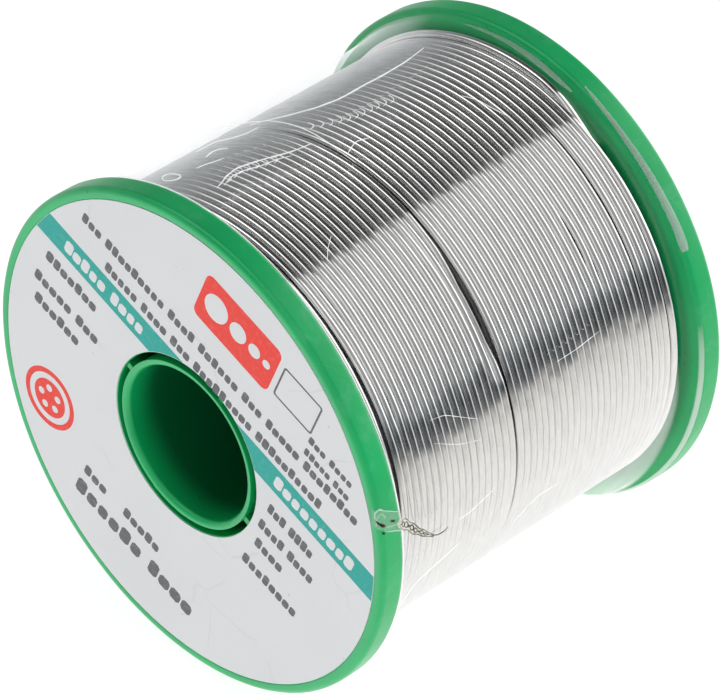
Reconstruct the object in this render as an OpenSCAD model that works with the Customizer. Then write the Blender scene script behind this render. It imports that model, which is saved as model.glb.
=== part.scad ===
// Reel of flux-cored solder wire under a clear shrink film.
// The reel lies on its two rims with its bore along Y, the labelled flange facing -Y.
// Every module is drawn about the reel's own axis, with +z towards the labelled flange,
// and on_reel() lays it down so that the rims stand on z = 0.

/* [Flanges] */
// Outer diameter of each flange
flange_d = 65; // [58:0.5:90]
// Thickness of each flange
flange_t = 3.5; // [2.8:0.1:6]
// Radius that rounds both edges of a rim
rim_round = 0.8; // [0.4:0.1:1]

/* [Drum] */
// Clear width between the flanges
winding_w = 49; // [36:0.5:80]
// Wall of the barrel that the wire is wound on
barrel_wall = 1.5; // [1:0.1:3]
// Depth to which each end of the barrel sits in its flange
barrel_seat = 1.5; // [0.8:0.1:2.2]

/* [Bore tube] */
// Diameter of the bore that turns on a spindle
bore_d = 20; // [12:0.5:24]
// Wall of the bore tube
tube_wall = 0.9; // [0.8:0.1:1.5]
// Radius of the rounded lead-in at each mouth of the bore
mouth_round = 0.7; // [0.3:0.1:0.7]
// Open space between the bore tube and the barrel
hub_gap = 0.9; // [0.6:0.1:2]
// Number of ribs that hold the bore tube inside the barrel
rib_count = 4; // [3:1:8]
// Thickness of a rib
rib_t = 0.8; // [0.6:0.1:1.5]
// Angle of the first rib, seen from the labelled end
rib_turn = -31; // [-60:1:60]
// How far the ribs stop short of each end
rib_setback = 0.4; // [0.2:0.1:2]

/* [Label] */
// Width of the bare rim round the label's recess
rim_land = 1.4; // [1.2:0.1:4]
// Thickness of the label, which is also the depth of its recess
label_t = 0.15; // [0.1:0.05:0.3]
// Margin that the label keeps from the recess wall and from the hub
label_margin = 0.1; // [0.05:0.05:0.5]

/* [Wire] */
// Diameter of the solder wire
wire_d = 1.02; // [0.7:0.01:1.2]
// How far the full winding stays below the rims
headroom = 3.1; // [2.6:0.1:6]
// Turns shown in the outer layer
loops = 24; // [12:1:24]
// Distance from the labelled flange to the groove where the layer parts
groove_at = 21; // [10:0.5:30]
// Extra width of that groove
groove_w = 1.2; // [0:0.1:2]
// Radius of the bend where the layer climbs out beside the plain flange
climb_bend = 1.3; // [0.8:0.1:2]
// Angle round the reel at which the outer layer begins and ends
end_turn = 195; // [150:1:230]
// Length of the loose straight end of the wire
free_end_l = 8; // [4:0.5:9]
// Diameter of the flux core inside the wire
flux_d = 0.4; // [0.2:0.05:0.5]
// How far the flux sits back from the cut end
flux_setback = 0.1; // [0.05:0.05:0.3]
// Clearance between the flux and the alloy round it
flux_gap = 0.01; // [0.01:0.01:0.03]

/* [Shrink film] */
// Thickness of the film
film_t = 0.12; // [0.08:0.02:0.2]
// How far the film draws in between the rims
film_sag = 1.3; // [0.4:0.1:1.8]
// Angle up the rounded edge of a rim at which the film's lip ends
lip_turn = 40; // [25:1:45]

/* [Fits] */
// Clearance between moulded parts that plug together
fit_gap = 0.05; // [0.03:0.01:0.1]
// Clearance left round the wire and the film
soft_gap = 0.06; // [0.04:0.01:0.1]

/* [Hidden] */

$fn = 96;
flange_r = flange_d / 2;
half_w = winding_w / 2;
half_l = half_w + flange_t;
bore_r = bore_d / 2;
tube_r = bore_r + tube_wall;
hub_r = tube_r + hub_gap;
barrel_r = hub_r + barrel_wall;
recess_r = flange_r - rim_land;
label_r = recess_r - label_margin;
winding_r = flange_r - headroom;

// The tube of the outer turns: steps in a turn and sides of its section
turn_steps = 24;
wire_sides = 6;
bend_steps = 4;
wire_r = wire_d / 2;
turn_r = winding_r - wire_r;
// A straight step between two rings dips inside the true circle by this much
chord_dip = turn_r * (1 - cos(180 / turn_steps));
core_r = turn_r - wire_r - chord_dip - soft_gap;

// Axial places of the outer layer, from the plain flange (low z) to the labelled one
layer_start_z = -half_w + wire_d + climb_bend;
layer_end_z = half_w - wire_r - soft_gap;
pitch = (layer_end_z - layer_start_z - groove_w) / loops;
groove_turn = round((half_w - groove_at - layer_start_z) / pitch);

green = [0.05, 0.60, 0.32];
solder = [0.74, 0.74, 0.73];
paper = [0.86, 0.87, 0.89];

// Height of the outer layer after a number of turns, with the groove taken in one turn
function layer_z(turn) = layer_start_z + pitch * turn
    + groove_w * min(1, max(0, turn - groove_turn));

// Point on the cylinder that the outer layer lies on
function on_turn(angle, z) = [turn_r * cos(angle), turn_r * sin(angle), z];

// Angle that an arc length on that cylinder takes
function arc_angle(length) = length * 180 / (PI * turn_r);

// Bend from straight out of the flange to straight along the turns
climb_points = [for (i = [0 : bend_steps - 1])
    let (a = 90 * i / bend_steps)
    on_turn(end_turn - arc_angle(climb_bend * cos(a)), -half_w + wire_d + climb_bend * sin(a))];

start_point = [on_turn(end_turn - arc_angle(climb_bend), -half_w + fit_gap)];

turn_points = [for (i = [0 : loops * turn_steps])
    on_turn(end_turn + 360 * i / turn_steps, layer_z(i / turn_steps))];

// Direction in which the last turn leaves the winding
leave_slope = atan2(pitch, 2 * PI * turn_r);
leave_dir = [-sin(end_turn) * cos(leave_slope), cos(end_turn) * cos(leave_slope), sin(leave_slope)];
leave_point = turn_points[len(turn_points) - 1] + leave_dir * wire_d;

turn_route = concat(start_point, climb_points, turn_points, [leave_point]);

function unit(v) = v / norm(v);

// Mean direction of the route at one of its points
function heading(route, i) = unit(route[min(i + 1, len(route) - 1)] - route[max(i - 1, 0)]);

function outward(p) = unit([p[0], p[1], 0]);

// One ring of the tube's section, turned so that a corner points away from the axis
function ring(route, i) =
    let (along = heading(route, i))
    let (side = unit(cross(along, outward(route[i]))))
    let (up = cross(side, along))
    [for (k = [0 : wire_sides - 1])
        let (a = 360 * k / wire_sides)
        route[i] + wire_r * (cos(a) * up + sin(a) * side)];

// Least distance between a point and the turn that follows it, less one wire
function self_gap(route) = min([
    for (i = [0 : len(route) - 1], j = [i + turn_steps * 3 / 4 : i + turn_steps * 5 / 4])
        if (j < len(route)) norm(route[i] - route[j])]) - wire_d;

echo(str("outer_turns: least gap to itself ", self_gap(turn_route), " mm"));

module on_reel() {
    translate([0, 0, flange_r])
        rotate([90, 0, 0])
            children();
}

// Quarter circle from angle a to angle a + 90 about a centre, as points
function corner(centre, r, a, steps = 6) =
    [for (i = [0 : steps]) centre + r * [cos(a + 90 * i / steps), sin(a + 90 * i / steps)]];

// Flange in its own place, inner face at z = 0 and labelled face at z = flange_t
module flange_solid() {
    difference() {
        rotate_extrude()
            polygon(concat(
                [[hub_r, 0]],
                corner([flange_r - rim_round, rim_round], rim_round, 270),
                corner([flange_r - rim_round, flange_t - rim_round], rim_round, 0),
                [[hub_r, flange_t]]));
        translate([0, 0, flange_t - label_t])
            cylinder(r = recess_r, h = flange_t);
        translate([0, 0, -flange_t])
            cylinder(r = barrel_r + fit_gap, h = flange_t + barrel_seat);
    }
}

module front_flange() {
    color(green)
        on_reel()
            translate([0, 0, half_w])
                flange_solid();
}

module rear_flange() {
    color(green)
        on_reel()
            mirror([0, 0, 1])
                translate([0, 0, half_w])
                    flange_solid();
}

module barrel() {
    barrel_l = winding_w + 2 * barrel_seat;
    color(green)
        on_reel()
            difference() {
                cylinder(r = barrel_r, h = barrel_l, center = true);
                cylinder(r = hub_r, h = barrel_l + 2, center = true);
            }
}

// Tube with a rounded mouth at each end, and the ribs that hold it in the barrel
module bore_tube() {
    rib_l = 2 * (half_l - rib_setback);
    rib_in = tube_r - tube_wall / 2;
    rib_out = hub_r - fit_gap;
    color(green)
        on_reel() {
            rotate_extrude()
                polygon(concat(
                    [[tube_r, -half_l]],
                    [[tube_r, half_l]],
                    corner([bore_r + mouth_round, half_l - mouth_round], mouth_round, 90),
                    corner([bore_r + mouth_round, -half_l + mouth_round], mouth_round, 180)));
            for (i = [0 : rib_count - 1])
                rotate([0, 0, rib_turn + 360 * i / rib_count])
                    translate([rib_in, -rib_t / 2, -rib_l / 2])
                        cube([rib_out - rib_in, rib_t, rib_l]);
        }
}

// The layers of wire under the outer one, as one plain drum
module winding_core() {
    core_l = winding_w - 2 * fit_gap;
    color(solder)
        on_reel()
            difference() {
                cylinder(r = core_r, h = core_l, center = true);
                cylinder(r = barrel_r + fit_gap, h = core_l + 2, center = true);
            }
}

module outer_turns() {
    rings = len(turn_route);
    points = [for (i = [0 : rings - 1]) each ring(turn_route, i)];
    walls = [for (i = [0 : rings - 2], k = [0 : wire_sides - 1])
        let (n = (k + 1) % wire_sides, a = i * wire_sides, b = a + wire_sides)
        each [[a + k, b + k, b + n], [a + k, b + n, a + n]]];
    first_cap = [for (k = [1 : wire_sides - 2]) [0, k, k + 1]];
    last = (rings - 1) * wire_sides;
    last_cap = [for (k = [1 : wire_sides - 2]) [last, last + k + 1, last + k]];
    color(solder)
        on_reel()
            polyhedron(points = points, faces = concat(walls, first_cap, last_cap));
}

// Places its child at the end of the outer turns, with z along the wire
module at_wire_end() {
    on_reel()
        rotate([0, 0, end_turn])
            translate([turn_r, 0, layer_z(loops)])
                rotate([leave_slope - 90, 0, 0])
                    translate([0, 0, wire_d + fit_gap])
                        children();
}

module free_end() {
    color(solder)
        at_wire_end()
            difference() {
                cylinder(r = wire_r, h = free_end_l);
                translate([0, 0, -1])
                    cylinder(r = flux_d / 2 + flux_gap, h = free_end_l + 2);
            }
}

module flux_core() {
    color([0.80, 0.62, 0.25])
        at_wire_end()
            cylinder(r = flux_d / 2, h = free_end_l - flux_setback);
}

module front_label() {
    color(paper)
        on_reel()
            translate([0, 0, half_l - label_t])
                difference() {
                    cylinder(r = label_r, h = label_t);
                    translate([0, 0, -1])
                        cylinder(r = hub_r + label_margin, h = label_t + 2);
                }
}

// The film's lips lie on the rounded inner edges of the rims and it draws in between them
module shrink_film() {
    steps = 16;
    flatness = 3;
    lip_seat = rim_round + soft_gap;
    lip_r = flange_r - rim_round + lip_seat * sin(lip_turn) + film_t;
    reach = half_w + rim_round - lip_seat * cos(lip_turn);
    outer = [for (i = [-steps : steps])
        let (share = i / steps)
        [lip_r - film_sag * (1 - pow(abs(share), flatness)), reach * share]];
    inner = [for (i = [len(outer) - 1 : -1 : 0]) outer[i] - [film_t, 0]];
    color([0.90, 0.93, 0.95, 0.35])
        on_reel()
            rotate_extrude()
                polygon(concat(outer, inner));
}

front_flange();
rear_flange();
barrel();
bore_tube();
winding_core();
outer_turns();
free_end();
flux_core();
front_label();
shrink_film();
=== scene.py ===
"""Looks of a reel of flux-cored solder wire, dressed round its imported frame.

The reel lies on its two rims with its bore along Y, and the labelled flange faces -Y. A place
on it is a radius from the reel's axis, an angle in degrees from straight up towards +X, and a
depth behind the labelled face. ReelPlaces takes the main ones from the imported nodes.
"""

from __future__ import annotations

import logging
import math
from dataclasses import dataclass
from enum import Enum
from typing import Callable, Sequence

import bpy
import numpy as np
from bpy.types import Material, Node, NodeSocket, NodeTree, Object
from mathutils import Matrix, Vector

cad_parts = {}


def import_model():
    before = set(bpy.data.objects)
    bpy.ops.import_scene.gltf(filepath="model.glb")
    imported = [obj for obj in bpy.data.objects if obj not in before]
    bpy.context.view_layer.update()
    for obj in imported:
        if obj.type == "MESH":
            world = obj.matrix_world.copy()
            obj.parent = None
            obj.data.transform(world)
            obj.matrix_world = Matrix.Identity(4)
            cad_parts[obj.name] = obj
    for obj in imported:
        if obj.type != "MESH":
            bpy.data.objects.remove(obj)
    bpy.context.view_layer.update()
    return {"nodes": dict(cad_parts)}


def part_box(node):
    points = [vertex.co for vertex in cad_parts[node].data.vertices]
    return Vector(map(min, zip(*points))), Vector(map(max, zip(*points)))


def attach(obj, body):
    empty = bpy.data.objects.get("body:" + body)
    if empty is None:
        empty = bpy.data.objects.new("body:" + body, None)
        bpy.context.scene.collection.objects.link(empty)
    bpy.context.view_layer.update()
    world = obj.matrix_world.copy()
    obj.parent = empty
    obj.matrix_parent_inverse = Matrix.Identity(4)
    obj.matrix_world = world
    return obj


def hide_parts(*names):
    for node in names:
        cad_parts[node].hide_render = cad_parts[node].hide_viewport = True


log = logging.getLogger("reel")

MM = 0.001
BODY = "root"
RAMP_TOP = 2.0
Array = np.ndarray
Pair = tuple[float, float]
Triple = tuple[float, float, float]
Colour = Triple


# --------------------------------------------------------------------------- places


@dataclass(frozen=True)
class ReelPlaces:
    """Main places on the reel, in metres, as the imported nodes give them."""

    axis_z: float
    face_y: float
    front_inner: float
    rear_inner: float
    rear_face: float
    rim_r: float
    turns_r: float
    label_r: float

    @classmethod
    def from_nodes(cls) -> ReelPlaces:
        """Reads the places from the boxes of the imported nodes.

        Returns:
            The reel's places.
        """
        front_low, front_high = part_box("front_flange")
        rear_low, rear_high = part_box("rear_flange")
        face_y = front_low.y
        radius = {name: (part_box(name)[1].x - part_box(name)[0].x) / 2
                  for name in ("front_flange", "outer_turns", "front_label")}
        return cls(
            axis_z=(front_low.z + front_high.z) / 2,
            face_y=face_y,
            front_inner=front_high.y - face_y,
            rear_inner=rear_low.y - face_y,
            rear_face=rear_high.y - face_y,
            rim_r=radius["front_flange"],
            turns_r=radius["outer_turns"],
            label_r=radius["front_label"],
        )

    @property
    def middle(self) -> float:
        """Depth halfway between the flanges."""
        return (self.front_inner + self.rear_inner) / 2

    @property
    def half_gap(self) -> float:
        """Half of the distance between the flanges."""
        return (self.rear_inner - self.front_inner) / 2

    def points(self, radius: Array, angle: Array, depth: Array) -> Array:
        """Turns reel places into points.

        Args:
            radius: Distance from the reel's axis.
            angle: Degrees from straight up towards +X.
            depth: Distance behind the labelled face.

        Returns:
            Points in the row frame, with the same leading shape.
        """
        radius, angle, depth = np.broadcast_arrays(radius, np.radians(angle), depth)
        return np.stack([radius * np.sin(angle), self.face_y + depth,
                         self.axis_z + radius * np.cos(angle)], axis=-1)

    def away(self, points: Array) -> Array:
        """Steps from the reel's axis straight out to each of a row of points."""
        return (points - np.array([0, 0, self.axis_z])) * np.array([1, 0, 1])


# --------------------------------------------------------------------------- meshes


def smooth_step(low: float, high: float, value: Array) -> Array:
    """Rises smoothly from 0 at low to 1 at high."""
    share = np.clip((value - low) / (high - low), 0.0, 1.0)
    return share * share * (3 - 2 * share)


def unit(rows: Array) -> Array:
    """Brings each row of a table to a length of one."""
    return rows / np.linalg.norm(rows, axis=1)[:, None]


def make_object(name: str, vertices: Array, faces: list, smooth: bool = True) -> Object:
    """Makes a mesh object and puts it in the scene.

    Args:
        name: The piece's name.
        vertices: Points, one row each.
        faces: Lists of vertex numbers.
        smooth: Whether its faces are shaded smooth.

    Returns:
        The new object.
    """
    mesh = bpy.data.meshes.new(name)
    mesh.from_pydata(np.asarray(vertices, float).reshape(-1, 3).tolist(), [], faces)
    mesh.polygons.foreach_set("use_smooth", [smooth] * len(mesh.polygons))
    mesh.update()
    piece = bpy.data.objects.new(name, mesh)
    bpy.context.scene.collection.objects.link(piece)
    return piece


def grid_faces(rings: int, sides: int, closed: bool = False) -> list[list[int]]:
    """Quads of a row of rings whose vertices are numbered ring by ring.

    Args:
        rings: Number of rings.
        sides: Vertices in a ring.
        closed: Whether the last ring joins the first.

    Returns:
        The quads.
    """
    row = np.arange(rings if closed else rings - 1)[:, None]
    column = np.arange(sides)[None, :]
    next_row, next_column = (row + 1) % rings, (column + 1) % sides
    corners = [row * sides + column, row * sides + next_column,
               next_row * sides + next_column, next_row * sides + column]
    size = (row.size, column.size)
    return np.stack([np.broadcast_to(corner, size) for corner in corners], -1).reshape(-1, 4).tolist()


def lathe(name: str, places: ReelPlaces, outline: Sequence[Pair], steps: int,
          wobble: Callable[[Array, Array], Array] | None = None) -> Object:
    """Turns a closed outline round the reel's axis.

    Args:
        name: The piece's name.
        places: The reel's places.
        outline: Pairs of radius and depth, in order round the section.
        steps: Divisions round the axis.
        wobble: Optional function of angle and radius that gives what is added to the radius.

    Returns:
        The new object.
    """
    profile = np.array(outline, float)
    angle = np.arange(steps)[:, None] * 360.0 / steps
    radius, depth = (np.broadcast_to(column, (steps, len(profile))) for column in profile.T)
    if wobble is not None:
        radius = radius + wobble(angle, radius)
    return make_object(name, places.points(radius, angle, depth),
                       grid_faces(steps, len(profile), closed=True))


def make_sheet(name: str, points: Array, outward: Array, thickness: float) -> Object:
    """Makes a thin closed sheet from a grid of points.

    Args:
        name: The piece's name.
        points: Rows of points of its lower side.
        outward: Directions towards its upper side, of the same shape.
        thickness: Distance between the two sides.

    Returns:
        The new object.
    """
    count, wide = points.shape[:2]
    rings = np.concatenate([points + outward * thickness, points[:, ::-1]], axis=1)
    ends = [[k, k + 1, 2 * wide - 2 - k, 2 * wide - 1 - k] for k in range(wide - 1)]
    last = (count - 1) * 2 * wide
    faces = grid_faces(count, 2 * wide) + [quad[::-1] for quad in ends]
    faces += [[corner + last for corner in quad] for quad in ends]
    return make_object(name, rings, faces)


def arc(centre: Pair, radius: float, start: float, end: float,
        steps: int) -> list[Pair]:
    """Points on an arc, with angles in degrees from the first axis to the second."""
    turns = np.radians(np.linspace(start, end, steps + 1))
    return [(centre[0] + radius * math.cos(turn), centre[1] + radius * math.sin(turn)) for turn in turns]


def waves(seed: int, count: int, longest: float, shortest: float) -> Callable[[Array], Array]:
    """A smooth wandering line made of sine waves, with a spread of about one.

    Args:
        seed: Seed of the waves' phases and sizes.
        count: How many waves there are.
        longest: Longest wavelength.
        shortest: Shortest wavelength.

    Returns:
        A function of position.
    """
    draw = np.random.default_rng(seed)
    length = np.geomspace(longest, shortest, count) * draw.uniform(0.85, 1.15, count)
    phase = draw.uniform(0, 2 * math.pi, count)
    size = draw.uniform(0.6, 1.2, count) / math.sqrt(count / 2)

    def line(place: Array) -> Array:
        """Height of the line at a place."""
        return sum(s * np.sin(2 * math.pi * place / w + p) for s, w, p in zip(size, length, phase))

    return line


def finish_piece(piece: Object, material: Material, replaces: Sequence[str] = ()) -> Object:
    """Dresses a piece and ties it to the frame.

    Args:
        piece: The piece.
        material: Its finish.
        replaces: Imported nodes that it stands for.

    Returns:
        The piece.
    """
    piece.data.materials.append(material)
    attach(piece, BODY)
    if replaces:
        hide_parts(*replaces)
    log.info("%s: %d faces", piece.name, len(piece.data.polygons))
    return piece


# --------------------------------------------------------------------------- shader nodes


def shade(colour: Colour, factor: float) -> Colour:
    """A colour made brighter or darker."""
    return tuple(part * factor for part in colour)


class Graph:
    """A node tree that is filled by name: every input is a socket, a node or a constant."""

    def __init__(self, tree: NodeTree) -> None:
        """Keeps the tree."""
        self.tree = tree

    def node(self, kind: str, inputs: dict | None = None, **settings: object) -> Node:
        """Adds a node.

        Args:
            kind: The node's type.
            inputs: Input name or number, and the socket, node or constant that goes there.
            settings: Properties of the node.

        Returns:
            The new node.
        """
        made = self.tree.nodes.new(kind)
        for name, value in settings.items():
            setattr(made, name, value)
        for key, value in (inputs or {}).items():
            self.feed(made.inputs[key], value)
        return made

    def feed(self, socket: NodeSocket, value: object) -> None:
        """Links a socket or a node to an input, or sets a constant there.

        Args:
            socket: The input.
            value: A socket, a node whose first output is meant, or a constant.
        """
        if isinstance(value, Node):
            value = next(output for output in value.outputs if output.enabled)
        if isinstance(value, NodeSocket):
            self.tree.links.new(value, socket)
        elif socket.type == "RGBA" and len(value) == 3:
            socket.default_value = (*value, 1.0)
        else:
            socket.default_value = value

    def give(self, node: Node, **inputs: object) -> None:
        """Feeds a node's inputs by name, with underscores for spaces."""
        for name, value in inputs.items():
            self.feed(node.inputs[name.replace("_", " ")], value)

    def math(self, operation: str, *values: object, clamp: bool = False) -> Node:
        """Adds a Math node."""
        return self.node("ShaderNodeMath", dict(enumerate(values)), operation=operation, use_clamp=clamp)

    def plus(self, first: object, second: object, clamp: bool = False) -> Node:
        """The sum of two values."""
        return self.math("ADD", first, second, clamp=clamp)

    def minus(self, first: object, second: object) -> Node:
        """The first value less the second."""
        return self.math("SUBTRACT", first, second)

    def times(self, first: object, second: object, clamp: bool = False) -> Node:
        """The product of two values."""
        return self.math("MULTIPLY", first, second, clamp=clamp)

    def most(self, first: object, second: object) -> Node:
        """The greater of two values."""
        return self.math("MAXIMUM", first, second)

    def remap(self, value: object, low: float, high: float, to_low: float = 0.0,
              to_high: float = 1.0) -> Node:
        """Maps low..high smoothly to another range."""
        return self.node("ShaderNodeMapRange", {"Value": value, "From Min": low, "From Max": high,
                                                "To Min": to_low, "To Max": to_high},
                         interpolation_type="SMOOTHSTEP")

    def ramp(self, value: object, stops: Sequence[tuple[float, Colour]]) -> NodeSocket:
        """Reads a colour off a row of stops.

        Args:
            value: What is looked up.
            stops: Pairs of a value and its colour, in rising order, with parts up to RAMP_TOP.

        Returns:
            The colour.
        """
        low, high = stops[0][0], stops[-1][0]
        share = self.node("ShaderNodeMapRange", {"Value": value, "From Min": low, "From Max": high})
        made = self.node("ShaderNodeValToRGB", {0: share})
        row = made.color_ramp.elements
        for place, _ in stops[1:-1]:
            row.new((place - low) / (high - low))
        for stop, (_, colour) in zip(row, stops):
            stop.color = (*shade(colour, 1 / RAMP_TOP), 1.0)
        return self.mix(1.0, made.outputs["Color"], (RAMP_TOP,) * 3, "MULTIPLY")

    def mix(self, share: object, first: object, second: object, blend: str = "MIX") -> NodeSocket:
        """Mixes two colours.

        Args:
            share: How much the second colour counts.
            first: The first colour.
            second: The second colour.
            blend: The way of mixing.

        Returns:
            The mixed colour.
        """
        made = self.node("ShaderNodeMix", {"Factor": share, 6: first, 7: second},
                         data_type="RGBA", blend_type=blend)
        return made.outputs[2]

    def noise(self, vector: object, scale: float, detail: float = 3.0) -> Node:
        """Adds a noise texture, whose first output is its value."""
        return self.node("ShaderNodeTexNoise", {"Vector": vector, "Scale": scale, "Detail": detail,
                                                "Roughness": 0.55})

    def point(self) -> NodeSocket:
        """The place of each point of the surface, in the row frame."""
        return self.node("ShaderNodeTexCoord").outputs["Object"]

    def axes(self, vector: object) -> tuple[NodeSocket, ...]:
        """The three parts of a vector."""
        return tuple(self.node("ShaderNodeSeparateXYZ", {0: vector}).outputs)

    def grey(self, value: object) -> Node:
        """A grey as bright as a value."""
        return self.node("ShaderNodeCombineColor", {0: value, 1: value, 2: value})

    def bump(self, shader: Node, height: object, strength: float, distance: float) -> None:
        """Gives a shader's surface a relief."""
        self.give(shader, Normal=self.node("ShaderNodeBump", {"Height": height, "Strength": strength,
                                                              "Distance": distance}))


def node_group(name: str, inputs: dict[str, float],
               outputs: Sequence[str]) -> tuple[Graph, Node, Node]:
    """Makes an empty shader node group.

    Args:
        name: The group's name.
        inputs: Names of its number inputs and their usual values.
        outputs: Names of its number outputs.

    Returns:
        Its graph, its input node and its output node.
    """
    tree = bpy.data.node_groups.new(name, "ShaderNodeTree")
    for label, usual in inputs.items():
        socket = tree.interface.new_socket(label, in_out="INPUT", socket_type="NodeSocketFloat")
        socket.default_value = usual
    for label in outputs:
        tree.interface.new_socket(label, in_out="OUTPUT", socket_type="NodeSocketFloat")
    graph = Graph(tree)
    return graph, graph.node("NodeGroupInput"), graph.node("NodeGroupOutput")


@dataclass(frozen=True)
class Effect:
    """One node group that finishes share."""

    tree: NodeTree

    def on(self, graph: Graph, **inputs: object) -> Node:
        """Places the group in a graph.

        Args:
            graph: The graph.
            inputs: The group's inputs by name, with underscores for spaces.

        Returns:
            The placed group, whose outputs are ready for use.
        """
        placed = graph.node("ShaderNodeGroup", node_tree=self.tree)
        graph.give(placed, **inputs)
        return placed


class Effects:
    """The node groups that several finishes share."""

    def __init__(self, places: ReelPlaces) -> None:
        """Builds every group.

        Args:
            places: The reel's places.
        """
        self.places = places
        self.where = self._where()
        self.turned = self._turned_grain()
        self.scuffs = self._scuffs()
        self.specks = self._specks()

    def _where(self) -> Effect:
        """Builds the group that measures places round the reel from the object's own points.

        Returns:
            Radius, depth and arc round the reel, in millimetres.
        """
        graph, _, out = node_group("reel_place", {}, ("Radius", "Depth", "Arc"))
        across, along, up = graph.axes(graph.point())
        height = graph.minus(up, self.places.axis_z)
        square = graph.plus(graph.times(across, across), graph.times(height, height))
        depth = graph.minus(along, self.places.face_y)
        turn = graph.math("ARCTAN2", across, height)
        graph.give(out, Radius=graph.times(graph.math("SQRT", square), 1 / MM),
                   Depth=graph.times(depth, 1 / MM), Arc=graph.times(turn, self.places.turns_r / MM))
        return Effect(graph.tree)

    def _turned_grain(self) -> Effect:
        """Builds the group of fine grain that is drawn out round the reel.

        Returns:
            A value from 0 to 1.
        """
        usual = {"Along": 6.0, "Across": 0.06, "Seed": 0.0}
        graph, given, out = node_group("turned_grain", usual, ("Grain",))
        place, wide = self.where.on(graph).outputs, given.outputs["Across"]
        vector = graph.node("ShaderNodeCombineXYZ", {
            "X": graph.math("DIVIDE", place["Arc"], given.outputs["Along"]),
            "Y": graph.math("DIVIDE", place["Depth"], wide),
            "Z": graph.plus(graph.math("DIVIDE", place["Radius"], wide), given.outputs["Seed"])})
        graph.give(out, Grain=graph.noise(vector, 1.0))
        return Effect(graph.tree)

    def _scuffs(self) -> Effect:
        """Builds the group of short fine scratches.

        Returns:
            A mask from 0 to 1.
        """
        graph, given, out = node_group("scuffs", {"Scale": 200.0, "Amount": 0.3}, ("Mask",))
        point = graph.point()
        bend = graph.noise(point, 60.0, 2.0).outputs["Color"]
        drift = graph.node("ShaderNodeVectorMath", {0: bend, "Scale": 0.012}, operation="SCALE")
        shifted = graph.node("ShaderNodeVectorMath", {0: point, 1: drift}, operation="ADD")
        cells = graph.node("ShaderNodeTexVoronoi", {"Vector": shifted, "Scale": given.outputs["Scale"]},
                           feature="DISTANCE_TO_EDGE")
        line = graph.remap(cells.outputs["Distance"], 0.0, 0.03, 1.0, 0.0)
        patch = graph.remap(graph.noise(point, 90.0, 2.0), 0.52, 0.66)
        graph.give(out, Mask=graph.times(graph.times(line, patch), given.outputs["Amount"], clamp=True))
        return Effect(graph.tree)

    def _specks(self) -> Effect:
        """Builds the group of small scattered specks of dust or dirt.

        Returns:
            A mask from 0 to 1.
        """
        graph, given, out = node_group("specks", {"Scale": 900.0, "Size": 0.12}, ("Mask",))
        point = graph.point()
        cells = graph.node("ShaderNodeTexVoronoi", {"Vector": point, "Scale": given.outputs["Scale"]})
        dot = graph.math("LESS_THAN", cells.outputs["Distance"], given.outputs["Size"])
        few = graph.math("GREATER_THAN", graph.noise(point, 260.0, 1.0), 0.62)
        graph.give(out, Mask=graph.times(dot, few))
        return Effect(graph.tree)


# --------------------------------------------------------------------------- finishes


def principled(name: str, **constants: object) -> tuple[Material, Graph, Node]:
    """Makes a material with one Principled shader.

    Args:
        name: The material's name.
        constants: Inputs of the shader, with underscores for spaces.

    Returns:
        The material, its graph and its shader.
    """
    material = bpy.data.materials.new(name)
    material.use_nodes = True
    graph = Graph(material.node_tree)
    shader = material.node_tree.nodes["Principled BSDF"]
    graph.give(shader, **constants)
    return material, graph, shader


@dataclass(frozen=True)
class Finish:
    """What all finishes of the reel share. Each kind feeds its shader in its own way."""

    effects: Effects

    def material(self, name: str) -> Material:
        """Builds the material.

        Args:
            name: The material's name.

        Returns:
            The material.
        """
        material, graph, shader = principled(name)
        self.dress(graph, shader)
        return material

    def dress(self, graph: Graph, shader: Node) -> None:
        """Feeds the shader. Every kind of finish has its own version."""
        raise NotImplementedError


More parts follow.
